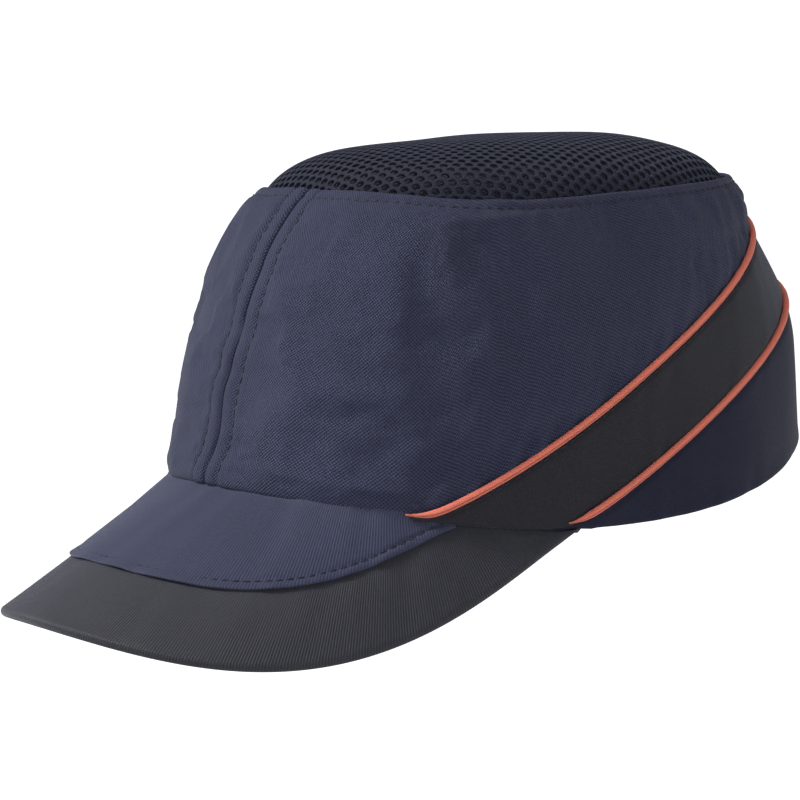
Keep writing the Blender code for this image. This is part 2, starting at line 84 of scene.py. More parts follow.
PEAK_ROOT_ANGLE = math.radians(74)
PEAK_OUTER_END = math.radians(89.5)
PEAK_HALF_THICKNESS = 0.0016
BORDER_SHARE = 0.605
BORDER_END = math.radians(64)
UNDER_BORDER_SHARE = 0.45
ARCH_HALF_WIDTH = 0.044
ARCH_HEIGHT = 0.035
GAP = 0.0003
TAPE_DEPTH, TAPE = 0.0015, 0.0004
FRONT_TAPE_HALF_WIDTH = 0.0075
PAD_DEPTH, PAD = 0.0045, 0.005
DOME_PAD_DEPTH = 0.0056
TOP_PAD_START = 0.45
FOAM_PADS = (
    ("front", -40, 40, 0.44, 0.85),
    ("left", 54, 126, 0.46, 0.85),
    ("right", -126, -54, 0.46, 0.85),
    ("rear", 150, 210, 0.64, 0.87),
)
SWEATBAND_LOW, SWEATBAND_HEIGHT = 0.0008, 0.031
SWEATBAND_CLOTH = 0.0014
SWEATBAND_FOLD_DEPTH, SWEATBAND_DEPTH, SWEATBAND_TURN = 0.0016, 0.0048, 0.008
SWEATBAND_END = math.radians(130)
STRAP_AXIS_Y = 0.0345
STRAP_RADIUS = 0.0699
STRAP, PATCH = 0.0012, 0.0008
STRAP_LOW, STRAP_HIGH = 0.0015, 0.0195
STRAP_CORNER = 0.006
PATCH_MARGIN = 0.0015
HOOK_TIP_INSET, PATCH_INSET = math.radians(1.2), math.radians(2)
LOOP_START = math.radians(-27)
STRAP_TAIL = math.radians(42)
TAB_SPLIT = math.radians(1)
TAB_TIP = math.radians(-20)
RIGHT_STRAP_TIP = math.radians(13)

NORMAL_STEP = 0.01


# ---------------------------------------------------------------- shapes


def eased(share):
    """A share from 0 to 1, changed so that it starts and ends level."""
    return share * share * (3 - 2 * share)


def smoothstep(value):
    return eased(np.clip(value, 0.0, 1.0))


def power_arc(value, power):
    return np.sign(value) * np.abs(value) ** (2 / power)


def crown(angle, rise):
    """The cloth wall: angle 0 is the front centre, 90 degrees the left; rise 0 is the rim, 1 the top seam."""
    curl = np.maximum(rise, 0.0) ** ROUND_POWER
    side = SIDE_LEAN * rise + SIDE_ROUND * curl
    front = FRONT_LEAN * rise + FRONT_ROUND * curl
    rear = REAR_INSET * smoothstep((rise - REAR_INSET_START) / (1 - REAR_INSET_START))
    power = RIM_POWER + (SEAM_POWER - RIM_POWER) * rise
    ahead = np.cos(angle)
    x = (RIM_HALF_WIDTH - side) * power_arc(np.sin(angle), power)
    y = -(RIM_HALF_LENGTH - np.where(ahead > 0, front, rear)) * power_arc(ahead, power)
    rim = -RIM_SIDE_DIP * np.sin(angle) ** 2
    end_height = np.where(ahead > 0, SEAM_HEIGHT_FRONT, SEAM_HEIGHT_REAR)
    top = SEAM_HEIGHT_SIDE + (end_height - SEAM_HEIGHT_SIDE) * ahead * ahead
    return np.stack(np.broadcast_arrays(x, y, rim + (top - rim) * rise), -1)


def unit(vectors):
    return vectors / np.maximum(np.linalg.norm(vectors, axis=-1, keepdims=True), 1e-12)


def moved_out(surface, a, b, out):
    """Points of the surface, moved along its outward normal by out."""
    along = surface(a + NORMAL_STEP, b) - surface(a - NORMAL_STEP, b)
    across = surface(a, b + NORMAL_STEP) - surface(a, b - NORMAL_STEP)
    return surface(a, b) + unit(np.cross(along, across)) * np.asarray(out)[..., None]


def wall_height(angle):
    return crown(angle, 1.0)[..., 2] - crown(angle, 0.0)[..., 2]


def seam_rise(angle, height, slope):
    """Where a stripe seam crosses the wall; it runs out smoothly along the rim at its front end."""
    low = np.full(np.shape(angle), -0.6)
    high = np.ones(np.shape(angle))
    for _ in range(30):
        middle = (low + high) / 2
        point = crown(angle, middle)
        under = point[..., 2] < height + slope * point[..., 1]
        low, high = np.where(under, middle, low), np.where(under, high, middle)
    return (low + np.sqrt(low * low + SEAM_RUN_IN**2)) / 2


def upper_seam(angle):
    return seam_rise(np.abs(angle), UPPER_SEAM_HEIGHT, UPPER_SEAM_SLOPE)


def lower_seam(angle):
    return seam_rise(np.abs(angle), LOWER_SEAM_HEIGHT, LOWER_SEAM_SLOPE)


def peak_edge(turn):
    ahead, aside = np.cos(turn) ** 2, np.sin(turn) ** 2
    x = PEAK_HALF_WIDTH * np.sin(turn) * (1 + PEAK_SHOULDER * ahead)
    y = PEAK_ROOT_Y + (PEAK_TIP_Y - PEAK_ROOT_Y) * np.abs(np.cos(turn)) ** PEAK_POWER
    drop = PEAK_TIP_DROP * ahead + PEAK_ROOT_DROP * aside + PEAK_SIDE_DROP * np.sin(2 * turn) ** 2
    return np.stack((x, y, -drop), -1)


def peak(turn, reach):
    """The peak's top: turn 0 is the tip, 90 degrees the left root; reach 0 is the root and 1 the outer edge."""
    turn, reach = np.broadcast_arrays(turn, reach)
    root = crown(turn * PEAK_ROOT_ANGLE / (math.pi / 2), 0.0)
    root = root * (PEAK_ROOT_INSET, PEAK_ROOT_INSET, 1) - (0, 0, PEAK_ROOT_LOW)
    point = root + (peak_edge(turn) - root) * reach[..., None]
    # reach * (1 - reach) ** 2 is 4 / 27 at its highest.
    arch = PEAK_ROOT_ARCH * 27 / 4 * reach * (1 - reach) ** 2 * np.cos(turn) ** 2
    return point + arch[..., None] * (0, 0, 1)


def peak_width(turn):
    across = peak(turn, 1.0) - peak(turn, 0.0)
    tangent = unit(peak_edge(turn + NORMAL_STEP) - peak_edge(turn - NORMAL_STEP))
    return np.linalg.norm(np.cross(across, tangent), axis=-1)


def border_line(turn):
    return BORDER_SHARE * np.maximum(0.0, 1 - np.abs(turn / BORDER_END) ** 3)


def under_border_line(turn):
    top = border_line(turn)
    return top + (1 - top) * UNDER_BORDER_SHARE


# ---------------------------------------------------------------- meshes


def mesh_piece(name, points, faces, uvs=None):
    """A mesh object. Faces is an array or a list; uvs is one pair per vertex, in metres of cloth."""
    mesh = bpy.data.meshes.new(name)
    mesh.from_pydata(points.tolist(), [], faces.tolist() if isinstance(faces, np.ndarray) else faces)
    if uvs is not None:
        layer = mesh.uv_layers.new(name="cloth")
        index = np.empty(len(mesh.loops), np.int32)
        mesh.loops.foreach_get("vertex_index", index)
        layer.data.foreach_set("uv", uvs[index].astype(np.float32).ravel())
    mesh.shade_smooth()
    piece = bpy.data.objects.new(name, mesh)
    bpy.context.scene.collection.objects.link(piece)
    return piece


def grid_faces(rows, columns, closed=False):
    last = columns if closed else columns - 1
    row, column = np.meshgrid(np.arange(rows - 1) * columns, np.arange(last), indexing="ij")
    after = (column + 1) % columns
    corners = (row + column, row + after, row + columns + after, row + columns + column)
    return np.stack(corners, -1).reshape(-1, 4)


def lengths(points, axis):
    """Distance along the grid's rows or columns, from its first point."""
    steps = np.linalg.norm(np.diff(points, axis=axis), axis=-1)
    start = np.zeros_like(np.take(steps, [0], axis=axis))
    return np.concatenate((start, np.cumsum(steps, axis=axis)), axis=axis)


def sheet_piece(name, points, thickness, closed=False):
    """A grid of points with cloth thickness on its inner side. Columns cross rows points outwards."""
    rows, columns = points.shape[:2]
    along = lengths(points, 1)
    middle = np.broadcast_to(along[rows // 2], (rows, columns))
    uvs = np.stack((middle, lengths(points, 0)), -1).reshape(-1, 2)
    piece = mesh_piece(name, points.reshape(-1, 3), grid_faces(rows, columns, closed), uvs)
    solid = piece.modifiers.new("Thickness", "SOLIDIFY")
    solid.thickness = thickness
    solid.offset = -1
    return piece


def rolled(points, radius, tail, first=False, steps=5):
    """Extra rows that turn the grid's last row (or its first) inwards and back, like a folded hem."""
    edge, before = (points[0], points[1]) if first else (points[-1], points[-2])
    ahead = unit(edge - before)
    inwards = unit(np.cross(ahead, np.gradient(edge, axis=0))) * (-1 if first else 1)
    rows = []
    for step in range(1, steps + 1):
        bend = math.pi * step / steps
        rows.append(edge + ahead * radius * math.sin(bend) + inwards * radius * (1 - math.cos(bend)))
    rows.append(rows[-1] + unit(rows[-1] - rows[-2]) * tail)
    return np.concatenate((rows[::-1], points)) if first else np.concatenate((points, rows))


def rings(centres, side, up, radii, sides):
    """A ring of points round each centre, and their angles."""
    turn = np.linspace(0, 2 * math.pi, sides, endpoint=False)
    ring = side[:, None] * np.cos(turn)[:, None] + up[:, None] * np.sin(turn)[:, None]
    return centres[:, None] + ring * radii[:, None, None], turn


def capped_faces(rows, columns, base=0):
    """The faces of a tube of rings, with a cap on both ends. The first point has the number base."""
    caps = [list(range(columns))[::-1], list(range((rows - 1) * columns, rows * columns))]
    faces = grid_faces(rows, columns, closed=True).tolist() + caps
    return [[base + corner for corner in face] for face in faces]


def tube_piece(name, path, radii, sides, flat=1.0, up=(0.0, 0.0, 1.0)):
    """A round or flattened tube along the path, closed at both ends. Radii is one value or one per point."""
    radii = np.broadcast_to(radii, len(path))
    ahead = unit(np.gradient(path, axis=0))
    side = unit(np.cross(ahead, up))
    points, turn = rings(path, side, unit(np.cross(side, ahead)) * flat, radii, sides)
    far = lengths(path[None], 1)[0]
    uvs = np.stack((np.repeat(far, sides), np.tile(turn * radii.max(), len(path))), -1)
    return mesh_piece(name, points.reshape(-1, 3), capped_faces(len(path), sides), uvs)


def read_path(values, far, places):
    """Values known at the distances far, read at other places."""
    return np.stack([np.interp(places, far, values[:, axis]) for axis in range(3)], -1)


def resampled(path, spacing):
    """Points at even spacing along the path."""
    far = lengths(path[None], 1)[0]
    count = max(2, round(far[-1] / spacing) + 1)
    return read_path(path, far, np.linspace(0, far[-1], count))


STITCH_SIDES = 6
STITCH_PLACES = np.array((0.0, 0.18, 0.5, 0.82, 1.0))
STITCH_LIFTS = np.array((-0.9, 0.35, 0.7, 0.35, -0.9))
STITCH_WIDTHS = np.array((0.6, 1, 1, 1, 0.6))


def stitch_piece(name, lines, stitch=2.3 * MM, gap=1.1 * MM, radius=0.26 * MM):
    """Sewn stitches, each a short thread that dips into the cloth at both ends. A line is (path, outward)."""
    points, faces = [], []
    for path, outward in lines:
        far = lengths(path[None], 1)[0]
        for start in np.arange(gap / 2, far[-1] - stitch, stitch + gap):
            places = start + STITCH_PLACES * stitch
            out = unit(read_path(outward, far, places))
            centres = read_path(path, far, places) + out * (STITCH_LIFTS * radius)[:, None]
            ahead = unit(np.gradient(centres, axis=0))
            side = unit(np.cross(ahead, out))
            thread, _ = rings(centres, side, np.cross(side, ahead), radius * STITCH_WIDTHS, STITCH_SIDES)
            faces += capped_faces(len(places), STITCH_SIDES, base=len(points) * len(places) * STITCH_SIDES)
            points.append(thread.reshape(-1, 3))
    return mesh_piece(name, np.concatenate(points), faces)


WAVE_KNOTS, FIELD_KNOTS = 512, 64


def wave(length, spacing, seed):
    """A smooth seeded random line: values between about -1 and 1 at the given positions."""
    knots = np.random.default_rng(seed).uniform(-1, 1, WAVE_KNOTS)
    place = length / spacing + 7
    base = np.floor(place).astype(int)
    share = eased(place - base)
    return knots[base % WAVE_KNOTS] * (1 - share) + knots[(base + 1) % WAVE_KNOTS] * share


def between(knots, row, column, up, along):
    """A value between four knots of a grid that repeats, at the shares up and along."""
    rows, columns = knots.shape
    up, along = eased(up), eased(along)

    def climbed(column):
        column = column % columns
        return knots[row % rows, column] * (1 - up) + knots[(row + 1) % rows, column] * up

    return climbed(column) * (1 - along) + climbed(column + 1) * along


def field(a, b, spacing_a, spacing_b, seed):
    """The same as wave, in two directions."""
    knots = np.random.default_rng(seed).uniform(-1, 1, (FIELD_KNOTS, FIELD_KNOTS))
    place_a, place_b = a / spacing_a + 11, b / spacing_b + 11
    row, column = np.floor(place_a).astype(int), np.floor(place_b).astype(int)
    return between(knots, row, column, place_a - row, place_b - column)


def bell(distance, width):
    return np.exp(-((distance / width) ** 2))


def swell(place, height, centre, width):
    """A ridge, or a valley where the height is below zero."""
    return height * bell(place - centre, width)


# ---------------------------------------------------------------- materials


ROUGH_SPREAD = 0.12
SHEEN_ROUGHNESS, SHEEN_TINT = 0.45, (0.75, 0.8, 1.0, 1)
PATCHES_PER_METRE, THREADS_PER_METRE = 28, 900


def add(tree, kind, **settings):
    made = tree.nodes.new("ShaderNode" + kind)
    for name, value in settings.items():
        setattr(made, name, value)
    return made


def fill(node, **values):
    """Sets the node's own input values; a space in an input's name is written as _."""
    for name, value in values.items():
        node.inputs[name.replace("_", " ")].default_value = value


def join(tree, source, socket):
    """Links an output to the socket, or sets the socket's own value."""
    if isinstance(source, bpy.types.NodeSocket):
        tree.links.new(source, socket)
    else:
        socket.default_value = source


def calculated(tree, operation, first, second=0.0, clamp=False):
    made = add(tree, "Math", operation=operation, use_clamp=clamp)
    join(tree, first, made.inputs[0])
    join(tree, second, made.inputs[1])
    return made.outputs[0]


def graph(tree, source, low, high, first, last):
    """Runs from first to last while the source runs from low to high."""
    made = add(tree, "MapRange", interpolation_type="SMOOTHSTEP")
    tree.links.new(source, made.inputs["Value"])
    fill(made, From_Min=low, From_Max=high, To_Min=first, To_Max=last)
    return made.outputs["Result"]


def cloth_axes(tree):
    """The cloth's own two directions, in millimetres."""
    split = add(tree, "SeparateXYZ")
    tree.links.new(add(tree, "UVMap", uv_map="cloth").outputs[0], split.inputs[0])
    return [calculated(tree, "MULTIPLY", output, 1000.0) for output in split.outputs[:2]]


def ripple(tree, place, pitch):
    return calculated(tree, "SINE", calculated(tree, "MULTIPLY", place, 2 * math.pi / pitch))


def noise(tree, scale, detail=3.0):
    """Uneven shading fixed to the piece; scale is in patches per metre."""
    made = add(tree, "TexNoise")
    tree.links.new(add(tree, "TexCoord").outputs["Object"], made.inputs["Vector"])
    fill(made, Scale=scale, Detail=detail, Roughness=0.55)
    return made.outputs["Fac"]


def finished(name, dark, light, share, height, depth, rough, sheen=0.0, specular=0.3):
    """A surface that runs from dark to light by share, with relief from height and roughness by share."""
    material = bpy.data.materials.new(name)
    material.use_nodes = True
    tree = material.node_tree
    shader = tree.nodes["Principled BSDF"]
    blend = add(tree, "Mix", data_type="RGBA")
    fill(blend, A=(*dark, 1), B=(*light, 1))
    factor = share(tree)
    join(tree, factor, blend.inputs["Factor"])
    tree.links.new(blend.outputs["Result"], shader.inputs["Base Color"])
    spread = calculated(tree, "MULTIPLY", factor, -ROUGH_SPREAD)
    tree.links.new(calculated(tree, "ADD", spread, rough + ROUGH_SPREAD / 2), shader.inputs["Roughness"])
    bump = add(tree, "Bump")
    fill(bump, Strength=1.0, Distance=depth)
    join(tree, height(tree), bump.inputs["Height"])
    tree.links.new(bump.outputs["Normal"], shader.inputs["Normal"])
    fill(shader, Specular_IOR_Level=specular, Sheen_Weight=sheen)
    fill(shader, Sheen_Roughness=SHEEN_ROUGHNESS, Sheen_Tint=SHEEN_TINT)
    return material


def dotted(pitch):
    """Offset dots, as on coarse oxford cloth."""

    def height(tree):
        across, along = cloth_axes(tree)
        return calculated(tree, "MULTIPLY", ripple(tree, across, pitch), ripple(tree, along, pitch))

    return height


def ribbed(pitch, cross_pitch, cross=0.3):
    """Ribs along the cloth, with weaker threads across them."""

    def height(tree):
        across, along = cloth_axes(tree)
        threads = calculated(tree, "MULTIPLY", ripple(tree, along, cross_pitch), cross)
        return calculated(tree, "ADD", ripple(tree, across, pitch), threads)

    return height


def twilled(pitch):
    """Diagonal threads."""

    def height(tree):
        return ripple(tree, calculated(tree, "ADD", *cloth_axes(tree)), pitch)

    return height


def grained(scale, detail=4.0):
    """Uneven grain, without threads."""

    def height(tree):
        return noise(tree, scale, detail)

    return height


def relief_shade_and_tone(height, weave=0.3, patches=0.5):
    """How light each point is: painted light on the tops of the relief and painted shade in its hollows, with
    broad uneven patches and fine thread variation.
    """

    def share(tree):
        painted_relief_shade = calculated(tree, "MULTIPLY", height(tree), weave)
        broad = calculated(tree, "SUBTRACT", noise(tree, PATCHES_PER_METRE), 0.5)
        fine = calculated(tree, "SUBTRACT", noise(tree, THREADS_PER_METRE, 1.0), 0.5)
        uneven = calculated(tree, "MULTIPLY", calculated(tree, "ADD", broad, fine), patches)
        return calculated(tree, "ADD", calculated(tree, "ADD", painted_relief_shade, uneven), 0.5, clamp=True)

    return share


def woven(name, dark, light, relief, depth, rough, sheen=0.12, specular=0.2, **shading):
    """Cloth whose colour follows its own relief, with painted shade in its hollows and painted light on its
    tops, and varies unevenly; the depth is in millimetres.
    """
    return finished(name, dark, light, relief_shade_and_tone(relief, **shading), relief, depth * MM, rough, sheen, specular)


def solid(name, dark, light, patches, grain, depth, rough, specular=0.3):
    """A material without threads; the depth is in millimetres."""
    return finished(name, dark, light, grained(patches), grain, depth * MM, rough, specular=specular)


def grey(value, blue=0.0):
    return value, value, value + blue


def make_materials():
    # A woven cloth runs between its dark and light colours partly by painted shade in the hollows of its weave
    # and painted light on its tops, partly by uneven tone; the other materials only by uneven tone.
    fine_dots, peak_rib = dotted(0.8), ribbed(0.85, 0.55)
    navy_dark, navy_light = (0.014, 0.0155, 0.032), (0.051, 0.056, 0.102)
    peak_dark, peak_light = (0.022, 0.024, 0.046), (0.046, 0.050, 0.090)
    rear_dark, rear_light = (0.009, 0.010, 0.021), (0.022, 0.024, 0.045)
    coral_dark, coral_light = (0.50, 0.115, 0.075), (0.95, 0.250, 0.165)
    mesh_dark, mesh_light = (0.005, 0.006, 0.013), (0.018, 0.020, 0.038)
    back_dark, back_light = (0.008, 0.009, 0.014), (0.020, 0.021, 0.030)
    tape_dark, tape_light = (0.014, 0.015, 0.022), (0.034, 0.036, 0.050)
    thread_dark, thread_light = (0.010, 0.011, 0.018), (0.026, 0.028, 0.042)
    band_dark, band_light = grey(0.010, 0.002), grey(0.028, 0.004)
    label_dark, label_light = grey(0.55, -0.02), grey(0.78, -0.02)
    webbing_dark, webbing_light = grey(0.010, 0.002), grey(0.032, 0.004)
    tight = {"sheen": 0.05, "weave": 0.12, "patches": 0.25}
    return {
        "crown": woven(
            "crown_cloth", navy_dark, navy_light, dotted(1.12), 0.16, 0.6, 0.06, 0.1, weave=0.5, patches=0.35
        ),
        "rear": woven("rear_cloth", rear_dark, rear_light, fine_dots, 0.05, 0.64, 0.03, 0.1),
        "band": woven("band_cloth", grey(0.009, 0.003), (0.023, 0.022, 0.028), fine_dots, 0.07, 0.66),
        "peak_navy": woven("peak_cloth_navy", peak_dark, peak_light, peak_rib, 0.035, 0.56, specular=0.12),
        "peak_black": woven("peak_cloth_black", grey(0.015, 0.005), grey(0.036, 0.009), peak_rib, 0.04, 0.55),
        "piping": woven("piping_cloth", coral_dark, coral_light, twilled(0.7), 0.05, 0.6, **tight),
        "mesh": woven("mesh_yarn", mesh_dark, mesh_light, dotted(0.5), 0.06, 0.75, specular=0.1),
        "mesh_back": woven("mesh_back_yarn", back_dark, back_light, dotted(1.1), 0.2, 0.85),
        "tape": woven("tape_cloth", tape_dark, tape_light, ribbed(0.9, 0.6), 0.06, 0.7),
        "thread": solid("sewing_thread", thread_dark, thread_light, 1500, grained(2500), 0.04, 0.6),
        "board": solid("peak_board_sheet", grey(0.45, -0.02), grey(0.6, -0.02), 60, grained(900), 0.02, 0.5),
        "shell": solid("shell_abs", grey(0.010, 0.001), grey(0.022, 0.002), 40, grained(1400), 0.06, 0.42, 0.5),
        "foam": solid("pad_foam", grey(0.020, 0.002), grey(0.045, 0.004), 90, grained(1800, 6.0), 0.10, 0.85),
        "sweatband": woven("sweatband_cloth", band_dark, band_light, twilled(0.8), 0.08, 0.8, 0.2),
        "label": woven(
            "label_satin", label_dark, label_light, ribbed(0.3, 0.4), 0.02, 0.45, weave=0.08, patches=0.3
        ),
        "strap": woven("strap_webbing", webbing_dark, webbing_light, ribbed(1.5, 0.5, 0.5), 0.14, 0.62),
        "hooks": woven("hook_tape", grey(0.006, 0.001), grey(0.030, 0.002), dotted(1.4), 0.35, 0.45),
        "loops": solid("loop_pile", grey(0.008, 0.001), grey(0.034, 0.003), 700, grained(1600, 6.0), 0.35, 0.9),
    }


def dress(piece, material, body, slot, *nodes):
    """Material, body and the CAD nodes that the piece stands for. The slot is not used."""
    piece.data.materials.clear()
    piece.data.materials.append(material)
    if body:
        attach(piece, body)
    if nodes:
        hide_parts(*nodes)
    return piece


def sew(name, lines, materials, body="cap", slot="seam_tape", **sizes):
    dress(stitch_piece(name, lines, **sizes), materials["thread"], body, slot)


# ---------------------------------------------------------------- cloth wall

SIDES = (("left", 1), ("right", -1))
STITCH_INSET = 6.5 * MM
TOP_STITCH_DEPTH = 2.2 * MM
BAND_STITCH_DROP = 2.1 * MM
BACK_SEAM_FADE = 7 * MM
CLOTH_THICKNESS = 0.55 * MM
DEEPEST_FOLD, HIGHEST_FOLD = -1.5 * MM, 0.8 * MM
DEEPEST_RELIEF = -1.4 * MM
FOLD_ROWS, FOLD_COLUMNS, FOLD_FRAMES = 30, 96, 20

# Relief of the crown cloth: (height, place, width) of each ridge. A height below zero is a valley.
SEAM_VALLEY = -1.1 * MM, 0, 0.8 * MM
SEAM_WELT = 0.35 * MM, 3.4 * MM, 2.2 * MM
SEAM_STITCH_VALLEY = -0.45 * MM, STITCH_INSET, 0.8 * MM
SEAM_PUCKER = 0.30 * MM, 10 * MM, 3.0 * MM
PIPING_VALLEY = -0.9 * MM, 0, 1.6 * MM
WRINKLE_HEIGHT, WRINKLE_PEAK = 0.45 * MM, (1.3 * MM, math.radians(62), math.radians(17))
WRINKLE_SLANT, WRINKLE_PITCH, WRINKLE_REACH = 0.6, 9.5 * MM, 13 * MM
CORNER_RIDGE, CORNER_RISE = (1.3 * MM, 0, 7 * MM), (1, 0.68, 0.26)
CORNER_VALLEY, CORNER_VALLEY_RISE = (-0.8 * MM, 12 * MM, 8 * MM), (1, 0.55, 0.25)
CORNER_ANGLE, CORNER_SLANT, CORNER_MIDDLE = math.radians(38.5), 0.10, 50 * MM
CREASES = ((43, 3.5, 30, 0.9), (31, 2.5, 22, 0.6), (60, 4.0, 26, 0.4))
CREASE_SLANT, CREASE_MIDDLE = 0.12, 10 * MM
HEM_ROLL = 1.2 * MM, 2.5 * MM, 4 * MM
HEM_PUCKER = 0.25 * MM, 0, 8 * MM
HEM_PULL, HEM_PULL_PLACE, HEM_PULL_REACH = 2.3 * MM, (1, math.radians(32), math.radians(22)), 14 * MM
TOP_STITCH_VALLEY = -0.40 * MM, TOP_STITCH_DEPTH, 0.7 * MM
SHOULDER, SHOULDER_PLACE = (3.0 * MM, 8 * MM, 8 * MM), (1, math.radians(152), math.radians(24))
FRONT_END, FRONT_FADE = math.radians(36), math.radians(12)

STRIP_FOLD, STRIP_DIP, STRIP_PUCKER = 0.35 * MM, 0.9 * MM, 0.30 * MM
BAND_START, REAR_START = math.radians(45), math.radians(66)
ARCH_FIRST_TURN, ARCH_BINDING_EXTRA = 0.14, 0.08
PIPING_RADIUS, PIPING_TAPER = 1.12 * MM, 9 * MM


def wall_table():
    """Angles from front to back, and the distance along the middle of the wall to each."""
    angles = np.linspace(0, math.pi, 4001)
    return angles, lengths(crown(angles, 0.5)[None], 1)[0]


def arc_angles(distances):
    """Angles at these distances along the wall from the front seam."""
    angles, far = wall_table()
    return np.interp(distances, far, angles)


def wall_arc(angle):
    """Distance along the wall from the front seam."""
    return np.interp(np.abs(angle), *wall_table())


BACK_SEAM = wall_arc(math.pi)


def graded(total, fine, coarse, edge):
    """Positions from 0 to total, closer together near the ends."""
    places = [0.0]
    while places[-1] < total:
        gap = min(places[-1], total - places[-1])
        places.append(places[-1] + (fine if gap < edge else min(coarse, fine + (gap - edge) * 0.25)))
    return np.array(places) * total / places[-1]


def crown_low(angle):
    """Lower edge of the crown panel: the rim in front, the upper stripe seam behind."""
    return upper_seam(angle) * smoothstep((np.abs(angle) - math.radians(39)) / math.radians(5))


def band_low(angle):
    return lower_seam(angle) * smoothstep((np.abs(angle) - math.radians(67)) / math.radians(5))


def simulated_folds(side):
    """Runs a little spare cloth, sewn down on all four edges, and gives how far it stands off the wall."""
    shape = FOLD_ROWS, FOLD_COLUMNS
    angle = arc_angles(np.linspace(0, BACK_SEAM, FOLD_COLUMNS))
    share = np.linspace(0, 1, FOLD_ROWS)[:, None]
    rise = crown_low(angle) + (1 - crown_low(angle)) * share
    start = 0.25 * MM * field(wall_arc(angle), share * 80 * MM, 14 * MM, 22 * MM, 5 + side)
    rest = moved_out(crown, angle, rise, 0.0)
    outward = unit(moved_out(crown, angle, rise, MM) - rest)
    points = rest + outward * start[..., None]
    piece = mesh_piece("folding_cloth", points.reshape(-1, 3), grid_faces(*shape))
    sewn = np.zeros(shape, bool)
    sewn[[0, -1]] = True
    sewn[:, [0, 1, -2, -1]] = True
    group = piece.vertex_groups.new(name="sewn")
    group.add(np.flatnonzero(sewn.ravel()).tolist(), 1.0, "REPLACE")
    settings = piece.modifiers.new("Cloth", "CLOTH").settings
    settings.quality = 6
    settings.mass = 0.15
    settings.tension_stiffness = 20
    settings.compression_stiffness = 20
    settings.shear_stiffness = 8
    settings.bending_stiffness = 0.6
    settings.vertex_group_mass = "sewn"
    settings.shrink_min = -0.018
    settings.use_pressure = True
    settings.uniform_pressure_force = 0.6
    settings.effector_weights.gravity = 0
    scene = bpy.context.scene
    for number in range(1, FOLD_FRAMES + 1):
        scene.frame_set(number)
    ready = piece.evaluated_get(bpy.context.evaluated_depsgraph_get())
    moved = np.array([vertex.co for vertex in ready.data.vertices], float).reshape(*shape, 3)
    scene.frame_set(1)
    bpy.data.objects.remove(piece, do_unlink=True)
    folds = ((moved - rest) * outward).sum(-1)
    return np.clip(folds - folds.mean(), DEEPEST_FOLD, HIGHEST_FOLD)


def read_folds(folds, angle, share):
    """The simulated folds at any point of the panel, smoothly between the simulated ones."""
    across = wall_arc(angle) / BACK_SEAM * (FOLD_COLUMNS - 1)
    up = np.clip(share, 0, 1) * (FOLD_ROWS - 1)
    column = np.clip(np.floor(across).astype(int), 0, FOLD_COLUMNS - 2)
    row = np.clip(np.floor(up).astype(int), 0, FOLD_ROWS - 2)
    return between(folds, row, column, up - row, across - column)


def jog(points):
    """The front seam wanders a little sideways as it climbs."""
    x, y, z = np.moveaxis(points, -1, 0)
    shift = 1.8 * MM * wave(z, 13 * MM, 3) * smoothstep(z / (12 * MM)) * smoothstep((85 * MM - z) / (20 * MM))
    return np.stack((x + bell(x, 22 * MM) * (y < 0) * shift, y, z), -1)


def seam_relief(from_seam, climb, side):
    """The front seam's valley between its two welts, and the topstitch beside them."""
    out = sum(swell(from_seam, *shape) for shape in (SEAM_VALLEY, SEAM_WELT, SEAM_STITCH_VALLEY))
    return out + swell(from_seam, *SEAM_PUCKER) * wave(climb, 7 * MM, 31 + side)


def piping_relief(angle, arc, above, side):
    """The dip at the upper piping, and wrinkles that slant away from it, strongest near its lower end."""
    place = arc - WRINKLE_SLANT * above
    wrinkle = 0.55 * np.sin(2 * math.pi * place / WRINKLE_PITCH) + 0.5 * wave(place, 6 * MM, 41 + side)
    height = WRINKLE_HEIGHT + swell(np.abs(angle), *WRINKLE_PEAK)
    return swell(above, *PIPING_VALLEY) + height * np.exp(-above / WRINKLE_REACH) * wrinkle


def corner_relief(arc, rise, climb, from_seam):
    """The upright ridge where the front turns into the side, and the creases across the front."""
    ridge = arc - wall_arc(CORNER_ANGLE) + CORNER_SLANT * (climb - CORNER_MIDDLE)
    out = swell(ridge, *CORNER_RIDGE) * swell(rise, *CORNER_RISE)
    out += swell(ridge, *CORNER_VALLEY) * swell(rise, *CORNER_VALLEY_RISE)
    for height, width, reach, depth in CREASES:
        line = climb - height * MM - CREASE_SLANT * from_seam
        out -= swell(line, depth * MM, 0, width * MM) * bell(from_seam - CREASE_MIDDLE, reach * MM)
    return out


def top_relief(angle, arc, above, below, side):
    """The top edge with its stitches, and the full shoulders at the back."""
    out = swell(below, *TOP_STITCH_VALLEY) - 0.7 * MM * np.exp(-below / (1.6 * MM))
    out += 0.25 * MM * np.exp(-below / (7 * MM)) * wave(arc, 13 * MM, 51 + side)
    shoulder = swell(below, *SHOULDER) * smoothstep(above / (9 * MM))
    return out + shoulder * swell(np.abs(angle), *SHOULDER_PLACE)


